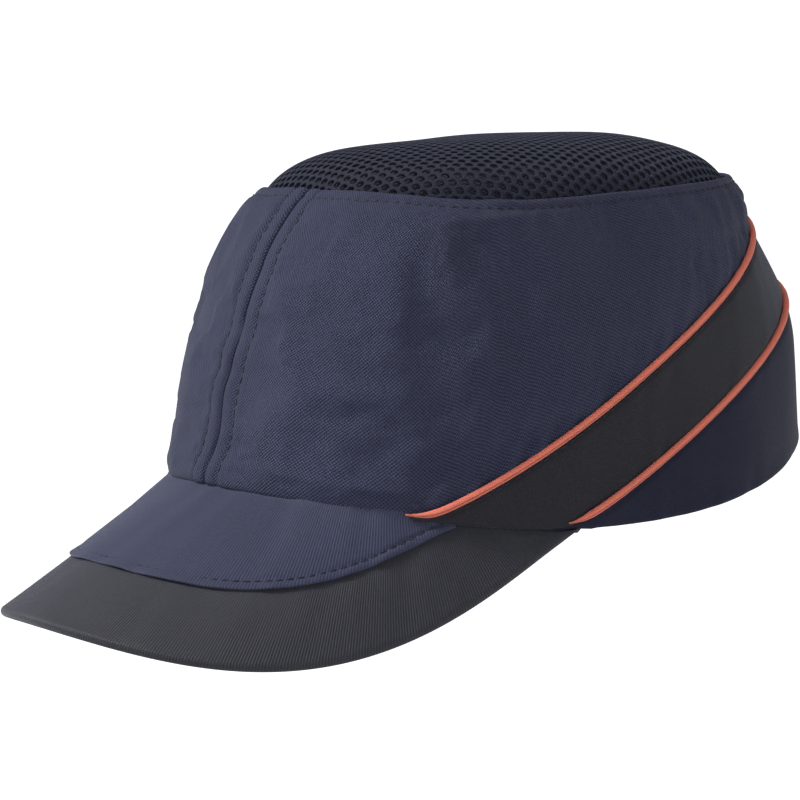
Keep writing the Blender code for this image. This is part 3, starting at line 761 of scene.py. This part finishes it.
def crown_points(angle, rise, side, folds, lift=0.0):
    """The finished crown cloth: simulated folds, seam valleys, puckers, the top edge and the rolled hem."""
    height, low, arc = wall_height(angle), crown_low(angle), wall_arc(angle)
    climb, above, below = rise * height, (rise - low) * height, (1 - rise) * height
    from_seam = np.abs(crown(angle, rise)[..., 0]) + (np.abs(angle) > math.pi / 2)
    front = 1 - smoothstep((np.abs(angle) - FRONT_END) / FRONT_FADE)
    out = read_folds(folds, angle, (rise - low) / (1 - low))
    out = out + 0.55 * MM * field(arc, climb, 26 * MM, 60 * MM, 21 + side)
    out *= smoothstep(above / (6 * MM)) * smoothstep(below / (5 * MM))
    out *= 0.25 + 0.75 * smoothstep(from_seam / (14 * MM))
    out += seam_relief(from_seam, climb, side) + corner_relief(arc, rise, climb, from_seam)
    out += piping_relief(angle, arc, above, side) * (1 - front)
    out += (swell(above, *HEM_ROLL) + swell(above, *HEM_PUCKER) * wave(arc, 9 * MM, 45 + side)) * front
    out -= HEM_PULL * np.exp(-above / HEM_PULL_REACH) * swell(np.abs(angle), *HEM_PULL_PLACE)
    out += top_relief(angle, arc, above, below, side)
    out = np.maximum(out, DEEPEST_RELIEF) * smoothstep((BACK_SEAM - arc) / BACK_SEAM_FADE)
    return jog(moved_out(crown, angle, rise, out + lift))


def oriented(values, side):
    """Columns in rising angle: the right side's run from the back to the front."""
    return values if side > 0 else -values[..., ::-1]


def panel_grid(angles, low, high, heights, side):
    """(angle, rise) for a panel between two lines; heights are shares from its lower to its upper edge."""
    angle = np.broadcast_to(oriented(angles, side), (len(heights), len(angles)))
    return angle, low(angle) + (high(angle) - low(angle)) * heights[:, None]


def make_crown_cloth(materials, folds):
    seam_lines, edge_lines = [], []
    for word, side in SIDES:
        angles = arc_angles(graded(BACK_SEAM - 0.15 * MM, 0.45 * MM, 1.5 * MM, 12 * MM) + 0.1 * MM)
        angle, rise = panel_grid(angles, crown_low, np.ones_like, graded(1.0, 0.008, 0.018, 0.09), side)
        points = rolled(crown_points(angle, rise, side, folds[side]), 0.8 * MM, 5 * MM)
        points = rolled(points, 1.5 * MM, 3 * MM, first=True, steps=8)
        piece = sheet_piece(f"crown_cloth_{word}", points, CLOTH_THICKNESS)
        dress(piece, materials["crown"], "cap", "navy_cloth", f"crown_panel_{word}")
        climb = np.linspace(0.03, 0.955, 160)
        inset = np.array([angle_at_offset(STITCH_INSET, value) for value in climb])
        seam_lines.append(stitch_line(inset * side, climb, side, folds[side]))
        around = arc_angles(np.linspace(STITCH_INSET, BACK_SEAM - 1 * MM, 500))
        near_top = 1 - TOP_STITCH_DEPTH / wall_height(around)
        edge_lines.append(stitch_line(around * side, near_top, side, folds[side]))
    sew("front_seam_stitches", seam_lines, materials)
    sew("top_edge_stitches", edge_lines, materials)


def angle_at_offset(offset, rise):
    """The angle where the wall is this far sideways from the front seam."""
    angles = np.linspace(0, 0.6, 400)
    return np.interp(offset, crown(angles, rise)[..., 0], angles)


def stitch_line(angles, rises, side, folds):
    path = crown_points(angles, rises, side, folds)
    outward = crown_points(angles, rises, side, folds, lift=MM) - path
    return path, unit(outward)


def strip_points(angle, rise, low, high, seed, side):
    """Band and rear cloth: flatter than the crown, pulled in along both seams."""
    height, arc = wall_height(angle), wall_arc(angle)
    above, below = (rise - low(angle)) * height, (high(angle) - rise) * height
    out = STRIP_FOLD * field(arc, rise * height, 18 * MM, 26 * MM, seed + side)
    out = out * smoothstep(np.minimum(above, below) / (5 * MM))
    pucker = STRIP_PUCKER * wave(arc + 0.4 * below, 6.0 * MM, seed + 3 + side)
    out += pucker * (np.exp(-above / (6 * MM)) + np.exp(-below / (6 * MM)))
    out -= STRIP_DIP * (bell(above, 1.5 * MM) * smoothstep(low(angle) / 0.03) + bell(below, 1.5 * MM))
    out -= 0.3 * MM * bell(below - BAND_STITCH_DROP, 0.7 * MM)
    out *= smoothstep((BACK_SEAM - arc) / BACK_SEAM_FADE)
    return moved_out(crown, angle, rise, out)


def make_bands(materials):
    lines = []
    for word, side in SIDES:
        angles = arc_angles(np.linspace(wall_arc(BAND_START), BACK_SEAM - 0.002 * MM, 190))
        angle, rise = panel_grid(angles, band_low, upper_seam, graded(1.0, 0.02, 0.05, 0.2), side)
        points = strip_points(angle, rise, band_low, upper_seam, 61, side)
        points = rolled(points, 0.9 * MM, 3 * MM, first=True)
        piece = sheet_piece(f"band_cloth_{word}", points, CLOTH_THICKNESS)
        dress(piece, materials["band"], "cap", "black_cloth", f"side_band_{word}")
        around = np.linspace(math.radians(54), math.pi - 0.01, 400) * side
        rises = upper_seam(around) - BAND_STITCH_DROP / wall_height(around)
        path = strip_points(around, rises, band_low, upper_seam, 61, side)
        lines.append((path, unit(moved_out(crown, around, rises, MM) - crown(around, rises))))
    sew("stripe_stitches", lines, materials)


def arch_rise(turn):
    """(angle, rise) on the wall of the rear opening's edge: turn 0 is its left foot and pi its right foot."""
    x, z = ARCH_HALF_WIDTH * np.cos(turn), ARCH_HEIGHT * np.sin(turn)
    angle, rise = math.pi - x / RIM_HALF_LENGTH, np.full(np.shape(turn), 0.1)
    for _ in range(40):
        here = crown(angle, rise)
        angle = angle + (here[..., 0] - x) / RIM_HALF_LENGTH * 0.9
        rise = rise + (z - here[..., 2]) / SEAM_HEIGHT_REAR * 0.9
    return angle, rise


def make_rear_panels(materials):
    foot_angles, foot_rises = arch_rise(np.append(0.0, np.linspace(ARCH_FIRST_TURN, math.pi / 2, 64)))
    foot_rises[0] = 0.0
    before = arc_angles(np.linspace(wall_arc(REAR_START), wall_arc(foot_angles[0]), 76))[:-1]
    angles = np.append(before, np.minimum(foot_angles, math.pi - 1e-6))
    lows = np.append(np.zeros(len(before)), foot_rises)

    def low(angle):
        return np.interp(np.abs(angle), angles, lows)

    for word, side in SIDES:
        angle, rise = panel_grid(angles, low, lower_seam, graded(1.0, 0.03, 0.05, 0.2), side)
        points = strip_points(angle, rise, np.zeros_like, lower_seam, 71, side)
        points = rolled(points, 0.8 * MM, 2 * MM, first=True)
        piece = sheet_piece(f"rear_cloth_{word}", points, CLOTH_THICKNESS)
        dress(piece, materials["rear"], "cap", "navy_cloth", f"rear_panel_{word}")
    edge = arch_rise(np.linspace(-ARCH_BINDING_EXTRA, math.pi + ARCH_BINDING_EXTRA, 130))
    path = moved_out(crown, *edge, -0.5 * MM)
    outward = path - moved_out(crown, *edge, -1.5 * MM)
    binding = tube_piece("arch_binding_tape", path, 1.45 * MM, 14, 0.75, outward)
    dress(binding, materials["tape"], "cap", "seam_tape", "rear_arch_binding")


def make_piping(materials):
    for word, side in SIDES:
        for level, seam, start in (("upper", upper_seam, 44.0), ("lower", lower_seam, 72.0)):
            angles = arc_angles(np.linspace(wall_arc(math.radians(start)), BACK_SEAM - 0.2 * MM, 260)) * side
            path = resampled(moved_out(crown, angles, seam(angles), 0.15 * MM), 0.9 * MM)
            far = lengths(path[None], 1)[0]
            radii = PIPING_RADIUS * (0.25 + 0.75 * smoothstep(far / PIPING_TAPER))
            radii = radii * (1 + 0.03 * wave(far, 4 * MM, 81 + side))
            piece = tube_piece(f"piping_{level}_cord_{word}", path, radii, 16)
            dress(piece, materials["piping"], "cap", "coral_piping", f"piping_{level}_{word}")


# ---------------------------------------------------------------- mesh top

MESH_PITCH = 3.7 * MM
MESH_ROW = MESH_PITCH * math.sqrt(3) / 2
MESH_TURN = math.radians(54)
HOLE_SHARE = 0.69
YARN = 0.75 * MM
MESH_CELLS = 34
MESH_BACK_DEPTH, MESH_BACK = 1.7 * MM, 0.4 * MM


def dome(angle, inward):
    """The mesh top: inward 0 is the seam and 1 the apex."""
    seam = moved_out(crown, angle, 1.0, -TAPE_DEPTH)
    share = 1 - inward
    base = DOME_BASE_HEIGHT + (seam[..., 2] - MESH_DROP - DOME_BASE_HEIGHT) * share**2
    rise = DOME_EDGE_RISE * (1 - share**DOME_EDGE_POWER) + DOME_RISE * (1 - share**DOME_POWER)
    y = DOME_CENTRE_Y + (seam[..., 1] - DOME_CENTRE_Y) * share
    return np.stack(np.broadcast_arrays(seam[..., 0] * share, y, base + rise), -1)


def dome_down(angle, inward, depth):
    return dome(angle, inward) - np.asarray(depth)[..., None] * (0, 0, 1)


def flat_to_dome(flat):
    """(angle, share, reach) on the dome of points of the mesh cloth laid out flat, at their real distances.
    Share and reach are 0 at the apex and 1 at the seam; share stops there."""
    angles = np.linspace(-math.pi, math.pi, 1441)
    seam = dome(angles, 0.0)
    direction = np.unwrap(np.arctan2(seam[:, 1] - DOME_CENTRE_Y, seam[:, 0]))
    shares = np.linspace(0, 1, 201)
    far = lengths(dome(angles[:, None], 1 - shares), 1)
    wanted = np.arctan2(flat[..., 1], flat[..., 0])
    wanted = np.where(wanted < direction[0], wanted + 2 * math.pi, wanted)
    wanted = np.where(wanted > direction[-1], wanted - 2 * math.pi, wanted)
    angle = np.interp(wanted, direction, angles)
    reach = np.linalg.norm(flat, axis=-1) / np.interp(angle, angles, far[:, -1])
    profile = (far / far[:, -1:]).mean(0)
    return angle, np.interp(np.minimum(reach, 1.0), profile, shares), reach


def mesh_points(flat):
    """Points on the dome, which sags and swells a little between its seams."""
    angle, share, _ = flat_to_dome(flat)
    settled = 0.5 * MM * field(flat[..., 0], flat[..., 1], 24 * MM, 24 * MM, 91)
    settled = settled * smoothstep((1 - share) / 0.12)
    return dome_down(angle, 1 - share, -settled)


def turned(flat, angle):
    c, s = math.cos(angle), math.sin(angle)
    return flat @ np.array(((c, s), (-s, c)))


def make_mesh_top(materials):
    """Knitted face with a real hexagonal hole in every cell, over a darker back layer."""
    span = range(-MESH_CELLS, MESH_CELLS + 1)
    places = [(column + 0.5 * (row % 2), row) for row in span for column in span]
    cells = np.array(places) * (MESH_PITCH, MESH_ROW)
    _, _, reach = flat_to_dome(turned(cells, MESH_TURN))
    cells = cells[reach < 1 + 0.5 * MESH_PITCH / 0.08]
    corner = math.radians(30) + np.arange(6) * math.pi / 3
    ring = np.stack((np.cos(corner), np.sin(corner)), -1) * MESH_PITCH / math.sqrt(3)
    outer = (cells[:, None] + ring).reshape(-1, 2)
    inner = (cells[:, None] + ring * HOLE_SHARE).reshape(-1, 2)
    keys = np.round(outer / (0.01 * MM)).astype(int)
    _, first, shared = np.unique(keys, axis=0, return_index=True, return_inverse=True)
    shared = shared.reshape(-1, 6)
    own = len(first) + np.arange(len(inner)).reshape(-1, 6)
    shared_next, own_next = np.roll(shared, -1, 1), np.roll(own, -1, 1)
    faces = [np.stack((shared[:, k], shared_next[:, k], own_next[:, k], own[:, k]), -1) for k in range(6)]
    flat = np.concatenate((outer[first], inner))
    piece = mesh_piece("mesh_face", mesh_points(turned(flat, MESH_TURN)), np.concatenate(faces), flat)
    yarn = piece.modifiers.new("Yarn", "SOLIDIFY")
    yarn.thickness = YARN
    yarn.offset = -1
    smooth = piece.modifiers.new("Round holes", "SUBSURF")
    smooth.levels = smooth.render_levels = 2
    dress(piece, materials["mesh"], "cap", "spacer_mesh", "top_mesh")
    inward = np.linspace(0, 1, 40)[:, None] ** 1.4 * 0.999
    below = dome_down(np.linspace(-math.pi, math.pi, 181)[:-1], inward, MESH_BACK_DEPTH)
    back = sheet_piece("mesh_back", below, MESH_BACK, closed=True)
    dress(back, materials["mesh_back"], "cap", "spacer_mesh")


# ---------------------------------------------------------------- peak


FLANGE = ((5.5, 1.6), (3.5, 1.5), (1.8, 1.1), (0.7, 0.5))
PEAK_COLUMNS, PEAK_CLOTH, LINING_CLOTH = 300, 0.45 * MM, 0.4 * MM
COVER_LIFT, COVER_STITCH_INSET = 0.85 * MM, 2.6 * MM


def peak_up(turn, reach, up):
    return moved_out(peak, turn, reach, -up)


def peak_half(width):
    """Half the peak's thickness, which runs out where the peak meets the rim at its ends."""
    return PEAK_HALF_THICKNESS * smoothstep(width / (9 * MM))


def peak_turns(end, count=PEAK_COLUMNS):
    return np.linspace(end, -end, count)


def peak_flow(turn, reach, seed):
    """Slight unevenness of cloth glued over the board, in ridges that run from the root to the edge."""
    place = turn * 90 * MM
    fine = field(place, reach * 60 * MM, 5 * MM, 16 * MM, seed + 1)
    return 0.16 * MM * wave(place, 7 * MM, seed) + 0.10 * MM * fine


def with_flange(points, share):
    """Rows before the grid's first one that turn up inside the rim, where share says the peak is sewn in."""
    root = points[0]
    inwards = unit(np.array((0, ARCH_HALF_WIDTH / 2, 0)) - root) * (1, 1, 0)
    extra = [root + (inwards * back * MM + (0, 0, climb * MM)) * share for climb, back in FLANGE]
    return np.concatenate((extra, points))


def make_peak_cover(materials):
    """The navy cloth on the inner part of the top, with a folded edge that stands proud of the border."""
    turn = peak_turns(BORDER_END * 0.995)
    reach = border_line(turn) * np.linspace(0, 1, 24)[:, None]
    from_fold = (border_line(turn) - reach) * peak_width(turn)
    lift = COVER_LIFT + peak_flow(turn, reach, 101) + swell(from_fold, 0.25 * MM, 0.6 * MM, 1.2 * MM)
    lift = lift - swell(from_fold, 0.35 * MM, COVER_STITCH_INSET, 0.6 * MM)
    lift = lift + 0.3 * MM * wave(turn * 90 * MM, 4.5 * MM, 104) * bell(from_fold, 1.5 * MM)
    points = rolled(with_flange(peak_up(turn, reach, lift), 1.0), 0.38 * MM, 2 * MM)
    cover = sheet_piece("peak_cover", points, PEAK_CLOTH)
    dress(cover, materials["peak_navy"], "cap", "navy_cloth", "peak_top_cover")

    turn = peak_turns(BORDER_END * 0.995 * 0.97, 500)
    edge = border_line(turn) - COVER_STITCH_INSET / peak_width(turn)
    turn, edge = turn[edge > 0.02], edge[edge > 0.02]
    path = peak_up(turn, edge, 0.75 * MM)
    line = path, unit(peak_up(turn, edge, 1.75 * MM) - path)
    sizes = dict(stitch=2.1 * MM, gap=1.0 * MM, radius=0.17 * MM)
    sew("peak_stitches", [line], materials, slot="navy_cloth", **sizes)


def make_peak_border(materials):
    """The black cloth, from under the cover over the peak's edge and back along its underside."""
    turn = peak_turns(PEAK_OUTER_END)
    width = peak_width(turn)
    start = np.maximum(border_line(turn) - 6 * MM / width, 0.0)
    half = peak_half(width)
    shoulder = 1 - half / width
    reach = start + (shoulder - start) * np.linspace(0, 1, 30)[:, None]
    lift = peak_flow(turn, reach, 111) * smoothstep((1 - reach) / 0.06) * smoothstep(width / (15 * MM))
    sewn_in = smoothstep(1 - start * width / (4 * MM))
    rows = [with_flange(peak_up(turn, np.maximum(reach, 0.0), lift), sewn_in[:, None])]
    for bend in math.pi * np.arange(1, 13) / 12:
        reach = shoulder + math.sin(bend) * half / width
        rows.append(peak_up(turn, reach, -half * (1 - math.cos(bend)))[None])
    reach = shoulder + (under_border_line(turn) - shoulder) * np.linspace(0, 1, 14)[1:, None]
    rows.append(peak_up(turn, reach, -2 * half))
    border = sheet_piece("peak_border", np.concatenate(rows), PEAK_CLOTH)
    dress(border, materials["peak_black"], "cap", "black_cloth", "peak_edge_band")


def make_peak_lining(materials):
    turn = peak_turns(PEAK_OUTER_END)[::-1]
    width = peak_width(turn)
    reach = np.minimum(under_border_line(turn) + 4 * MM / width, 0.96) * np.linspace(0, 1, 20)[:, None]
    lift = -1.65 * peak_half(width) + 0.6 * peak_flow(turn, reach, 121) * smoothstep(width / (15 * MM))
    lining = sheet_piece("peak_lining", peak_up(turn, reach, lift), LINING_CLOTH)
    dress(lining, materials["peak_navy"], "cap", "navy_cloth", "peak_under_cover")


# ---------------------------------------------------------------- inside


FOAM_ROUNDING = 2.2 * MM
TOP_PAD_ROWS, TOP_PAD_COLUMNS, TOP_PAD_RADIUS = 26, 120, 36 * MM
MEAN_WALL_RADIUS = 95 * MM
SWEATBAND_STITCHES = (SWEATBAND_HEIGHT - 3 * MM, 4 * MM)
LABEL_START, LABEL_END, LABEL_LOW, LABEL_HEIGHT = 101, 118, 0.011, 0.016


def wall_in(angle, rise, depth):
    return moved_out(crown, angle, rise, -depth)


def make_tapes(materials):
    rises = np.linspace(0.10, 0.88, 60)
    offsets = np.linspace(-FRONT_TAPE_HALF_WIDTH, FRONT_TAPE_HALF_WIDTH, 13)
    angle = np.sign(offsets) * [angle_at_offset(np.abs(offsets), rise) for rise in rises]
    front = sheet_piece("front_tape", wall_in(angle, rises[:, None], TAPE_DEPTH), TAPE)
    dress(front, materials["tape"], "cap", "seam_tape", "front_seam_tape")
    around = np.linspace(-math.pi, math.pi, 241)[:-1]
    top = wall_in(around, np.linspace(0.90, 0.96, 7)[:, None], TAPE_DEPTH)
    top = sheet_piece("top_tape", top, TAPE, closed=True)
    dress(top, materials["tape"], "cap", "seam_tape", "top_seam_tape")


def rounded(edge, least):
    """A pad's share of its thickness at this distance from its edge."""
    return least + (1 - least) * (1 - (1 - np.clip(edge / FOAM_ROUNDING, 0, 1)) ** 2.5)


def foam_block(name, a, b):
    """A foam pad on the wall with rounded edges and pressed grooves, closed all round."""
    rows, columns = len(b), len(a)
    u, v = np.broadcast_arrays(a, b[:, None])
    outer = wall_in(u, v, PAD_DEPTH)
    across, up = lengths(outer, 1), lengths(outer, 0)
    width, height = across[:, -1:], up[-1:]
    edge = np.minimum(np.minimum(across, width - across), np.minimum(up, height - up))
    grooves = bell((across / width * 3) % 1.0 - 0.5, 0.06) * (width > 60 * MM)
    grooves = np.maximum(grooves, bell(up - height / 2, 0.9 * MM))
    depth = PAD * rounded(edge, 0.35) * (edge > 0) - 1.3 * MM * grooves * (edge > 3 * MM)
    depth = depth + 0.12 * MM * field(across, up, 6 * MM, 6 * MM, 131) * (edge > 0)
    inner = wall_in(u, v, PAD_DEPTH + depth)
    number = np.arange(rows * columns).reshape(rows, columns)
    ring = np.concatenate((number[0], number[1:, -1], number[-1, -2::-1], number[-2:0:-1, 0]))
    after = np.roll(ring, -1)
    sides = np.stack((after, ring, ring + rows * columns, after + rows * columns), -1)
    outside = grid_faces(rows, columns)
    faces = np.concatenate((outside, outside[:, ::-1] + rows * columns, sides))
    uvs = np.stack((across, up), -1).reshape(-1, 2)
    return mesh_piece(name, np.concatenate((outer, inner)).reshape(-1, 3), faces, np.concatenate((uvs, uvs)))


def make_pads(materials):
    for name, first, last, low, high in FOAM_PADS:
        angles = np.radians(first) + np.radians(last - first) * graded(1.0, 0.006, 0.02, 0.06)
        pad = foam_block(f"foam_{name}", angles, low + (high - low) * graded(1.0, 0.02, 0.045, 0.12))
        dress(pad, materials["foam"], "cap", "pad_foam", f"pad_{name}")

    angle = np.linspace(-math.pi, math.pi, TOP_PAD_COLUMNS + 1)[:-1]
    share = np.linspace(1, 0.004, TOP_PAD_ROWS)[:, None]
    inward = 1 - (1 - TOP_PAD_START) * share
    edge = (1 - share) * TOP_PAD_RADIUS
    thick = PAD * rounded(edge, 0.3) - swell(edge, 1.2 * MM, 14 * MM, 0.9 * MM)
    lower = dome_down(angle, inward, DOME_PAD_DEPTH + thick)
    points = np.concatenate((lower[::-1], dome_down(angle, inward, DOME_PAD_DEPTH)))
    faces = grid_faces(2 * TOP_PAD_ROWS, TOP_PAD_COLUMNS, closed=True)[:, ::-1]
    top = mesh_piece("foam_top", points.reshape(-1, 3), faces, points[..., :2].reshape(-1, 2))
    dress(top, materials["foam"], "cap", "pad_foam", "pad_top")


def band_depth(climb):
    out_of_fold = smoothstep(climb / SWEATBAND_TURN)
    return SWEATBAND_FOLD_DEPTH + (SWEATBAND_DEPTH - SWEATBAND_FOLD_DEPTH) * out_of_fold


def sweatband(angle, climb, extra):
    return wall_in(angle, climb / wall_height(angle), band_depth(climb) + extra)


def make_sweatband(materials):
    angle = np.linspace(-SWEATBAND_END, SWEATBAND_END, 320)
    climb = np.linspace(SWEATBAND_LOW, SWEATBAND_HEIGHT, 26)[:, None]
    middle = smoothstep(np.minimum(climb - SWEATBAND_LOW, SWEATBAND_HEIGHT - climb) / (4 * MM))
    extra = 0.25 * MM * field(angle * MEAN_WALL_RADIUS, climb, 9 * MM, 12 * MM, 141) * middle
    for level in SWEATBAND_STITCHES:
        extra = extra + swell(climb, 0.3 * MM, level, 0.7 * MM)
    band = sheet_piece("sweatband_cloth", sweatband(angle, climb, extra), SWEATBAND_CLOTH)
    dress(band, materials["sweatband"], "cap", "sweatband_cloth", "sweatband")
    around = np.linspace(SWEATBAND_END - 0.02, 0.02 - SWEATBAND_END, 900)
    lines = []
    for level in SWEATBAND_STITCHES:
        path = sweatband(around, level, SWEATBAND_CLOTH)
        lines.append((path, unit(sweatband(around, level, SWEATBAND_CLOTH + MM) - path)))
    sew("sweatband_stitches", lines, materials, slot="sweatband_cloth")

    angle = np.radians(np.linspace(LABEL_START, LABEL_END, 40))
    climb = LABEL_LOW + LABEL_HEIGHT * np.linspace(0, 1, 24)[:, None]
    curl = 0.25 * MM * wave(angle * MEAN_WALL_RADIUS, 8 * MM, 151) * smoothstep((0.026 - climb) / 0.01)
    place = sweatband(angle, climb, SWEATBAND_CLOTH + 0.35 * MM + np.abs(curl))
    dress(sheet_piece("blank_label", place, 0.3 * MM), materials["label"], "cap", "label_cloth", "care_label")


# ---------------------------------------------------------------- size strap


STRAP_ROWS = 16
STRAP_UNEVEN = 0.12 * MM
STRAP_MIDDLE = 10.5 * MM


def strap_point(turn, height, radius):
    turn, height, radius = np.broadcast_arrays(turn, height, radius)
    return np.stack((radius * np.sin(turn), STRAP_AXIS_Y + radius * np.cos(turn), height), -1)


def strap_grid(left, right, radius, columns, seed, margin=0.0, rounded_end=None):
    """Rows of a strap from its left end to its right end, with one end's corners rounded if asked."""
    turn = np.linspace(left, right, columns)
    trim = np.full(columns, margin)
    if rounded_end is not None:
        short = np.clip(STRAP_CORNER - np.abs(turn - rounded_end) * radius, 0, STRAP_CORNER)
        trim = trim + STRAP_CORNER - np.sqrt(STRAP_CORNER**2 - short**2)
    low, high = STRAP_LOW + trim, STRAP_HIGH - trim
    height = low + (high - low) * np.linspace(0, 1, STRAP_ROWS)[:, None]
    uneven = STRAP_UNEVEN * field(turn * radius, height, 5 * MM, 5 * MM, seed)
    return strap_point(turn, height, radius + uneven)


def strap_line(turn, height):
    """A line of stitches on the outer webbing; either turn or height is one value."""
    path = strap_point(turn, height, STRAP_RADIUS)
    return path, unit(strap_point(turn, height, STRAP_RADIUS + MM) - path)


def make_strap(materials):
    hook_radius = STRAP_RADIUS - STRAP - GAP
    loop_radius = hook_radius - PATCH - GAP
    right_radius = loop_radius - PATCH - GAP
    webbing = strap_grid(STRAP_TAIL, TAB_TIP, STRAP_RADIUS, 240, 161, rounded_end=TAB_TIP)
    left = sheet_piece("strap_webbing_left", webbing, STRAP)
    dress(left, materials["strap"], None, "strap_cloth", "closure_strap_left", "closure_tab")
    bend = strap_point(TAB_SPLIT, STRAP_MIDDLE, STRAP_RADIUS)
    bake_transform(left)

    hooks = strap_grid(TAB_SPLIT - PATCH_INSET, TAB_TIP + HOOK_TIP_INSET, hook_radius, 120, 171, PATCH_MARGIN)
    dress(sheet_piece("hook_strip", hooks, PATCH), materials["hooks"], "tab", "hook_tape", "hook_patch")
    loops = strap_grid(RIGHT_STRAP_TIP - PATCH_INSET, LOOP_START, loop_radius, 180, 181, PATCH_MARGIN)
    dress(sheet_piece("loop_strip", loops, PATCH), materials["loops"], "cap", "loop_tape", "loop_patch")
    webbing = strap_grid(RIGHT_STRAP_TIP, -STRAP_TAIL, right_radius, 220, 191, rounded_end=RIGHT_STRAP_TIP)
    right = sheet_piece("strap_webbing_right", webbing, STRAP)
    dress(right, materials["strap"], "cap", "strap_cloth", "closure_strap_right")

    turns = (TAB_SPLIT - math.radians(4), TAB_TIP + math.radians(3.5))
    heights = (STRAP_LOW + 2 * MM, STRAP_HIGH - 2 * MM)
    lines = [strap_line(np.linspace(*turns, 200), height) for height in heights]
    lines += [strap_line(turn, np.linspace(*heights, 60)) for turn in turns[::-1]]
    sew("tab_stitches", lines, materials, "tab", "strap_cloth")


# ---------------------------------------------------------------- camera and light

CAMERA_AZIMUTH, CAMERA_ELEVATION = math.radians(53.94), math.radians(8.23)
CAMERA_ROLL = math.radians(-2.8)
CAMERA_DISTANCE = 0.87488
CAMERA_LENS = 126.88
CAMERA_TARGET = (0.0, -0.03304, 0.01493)
SENSOR_WIDTH = 36
FAR_CLIP = 60

FLOOR_HEIGHT, FLOOR_HALF_WIDTH, FLOOR_LINES = -1.25, 14.0, 9
FLOOR_NEAR, FLOOR_FAR, FLOOR_SHADE = 1.8, 3.9, 0.30
FLOOR_GLOW = 0.95
HORIZON, SKY, HORIZON_GLOW, SKY_GLOW = 0.01, 0.12, 1.2, 0.2
SURROUND_COLOUR = (0.97, 0.985, 1.0, 1)
LAMPS = (
    ("key", (-1.5, -1.8, 2.1), 0.8, 108, (1, 1, 1)),
    ("fill", (2.6, -1.2, 1.0), 1.2, 27, (0.95, 0.97, 1.0)),
    ("top", (-0.5, -0.8, 2.6), 1.2, 16, (1, 1, 1)),
)


def make_camera():
    across, ahead = math.sin(CAMERA_AZIMUTH), math.cos(CAMERA_AZIMUTH)
    flat, climb = math.cos(CAMERA_ELEVATION), math.sin(CAMERA_ELEVATION)
    back = Vector((across * flat, -ahead * flat, climb))
    right = Vector((ahead, across, 0))
    up = back.cross(right)
    tilted = right * math.cos(CAMERA_ROLL) + up * math.sin(CAMERA_ROLL)
    raised = -right * math.sin(CAMERA_ROLL) + up * math.cos(CAMERA_ROLL)
    data = bpy.data.cameras.new("camera")
    data.lens = CAMERA_LENS
    data.sensor_width = SENSOR_WIDTH
    data.clip_end = FAR_CLIP
    camera = bpy.data.objects.new("camera", data)
    place = Matrix((tilted, raised, back)).transposed().to_4x4()
    place.translation = Vector(CAMERA_TARGET) + back * CAMERA_DISTANCE
    camera.matrix_world = place
    bpy.context.scene.collection.objects.link(camera)
    bpy.context.scene.camera = camera


def make_lamp(name, place, size, power, colour):
    light = bpy.data.lights.new(name, "AREA")
    light.shape = "DISK"
    light.size = size
    light.energy = power
    light.color = colour
    lamp = bpy.data.objects.new(name, light)
    lamp.location = place
    lamp.rotation_euler = (-Vector(place)).to_track_quat("-Z", "Y").to_euler()
    bpy.context.scene.collection.objects.link(lamp)


def make_floor():
    """A pale floor well below the cap: grey under it, so that it throws little light up, white further out."""
    edges = np.linspace(-FLOOR_HALF_WIDTH, FLOOR_HALF_WIDTH, FLOOR_LINES)
    grid = np.stack(np.meshgrid(edges, edges), -1).reshape(-1, 2)
    points = np.concatenate((grid, np.full((len(grid), 1), FLOOR_HEIGHT)), 1)
    floor = mesh_piece("floor", points, grid_faces(FLOOR_LINES, FLOOR_LINES), grid)
    material = bpy.data.materials.new("floor_paint")
    material.use_nodes = True
    tree = material.node_tree
    shader = tree.nodes["Principled BSDF"]
    distance = add(tree, "VectorMath", operation="LENGTH")
    tree.links.new(add(tree, "TexCoord").outputs["Object"], distance.inputs[0])
    shade = graph(tree, distance.outputs["Value"], FLOOR_NEAR, FLOOR_FAR, FLOOR_SHADE, 1.0)
    tree.links.new(shade, shader.inputs["Base Color"])
    tree.links.new(calculated(tree, "MULTIPLY", shade, FLOOR_GLOW), shader.inputs["Emission Strength"])
    fill(shader, Roughness=1.0, Specular_IOR_Level=0.0, Emission_Color=(1, 1, 1, 1))
    floor.data.materials.append(material)


def make_surround():
    """A white surround at the horizon that dims towards the sky."""
    world = bpy.data.worlds.new("surround")
    world.use_nodes = True
    tree = world.node_tree
    split = add(tree, "SeparateXYZ")
    tree.links.new(add(tree, "TexCoord").outputs["Generated"], split.inputs[0])
    background = tree.nodes["Background"]
    fill(background, Color=SURROUND_COLOUR)
    glow = graph(tree, split.outputs[2], HORIZON, SKY, HORIZON_GLOW, SKY_GLOW)
    tree.links.new(glow, background.inputs["Strength"])
    bpy.context.scene.world = world


# ---------------------------------------------------------------- the scene


def paint_left_over(materials):
    """The hard CAD parts that stay on show."""
    for name, finish in (("peak_board", "board"), ("protective_shell", "shell")):
        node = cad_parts[name]
        node.data.materials.clear()
        node.data.materials.append(materials[finish])


def main():
    bpy.context.scene.view_settings.view_transform = "Standard"
    materials = make_materials()
    folds = {side: simulated_folds(side) for _, side in SIDES}
    make_crown_cloth(materials, folds)
    make_bands(materials)
    make_rear_panels(materials)
    make_piping(materials)
    make_mesh_top(materials)
    make_peak_cover(materials)
    make_peak_border(materials)
    make_peak_lining(materials)
    make_tapes(materials)
    make_pads(materials)
    make_sweatband(materials)
    make_strap(materials)
    paint_left_over(materials)
    make_camera()
    make_floor()
    make_surround()
    for lamp in LAMPS:
        make_lamp(*lamp)


main()
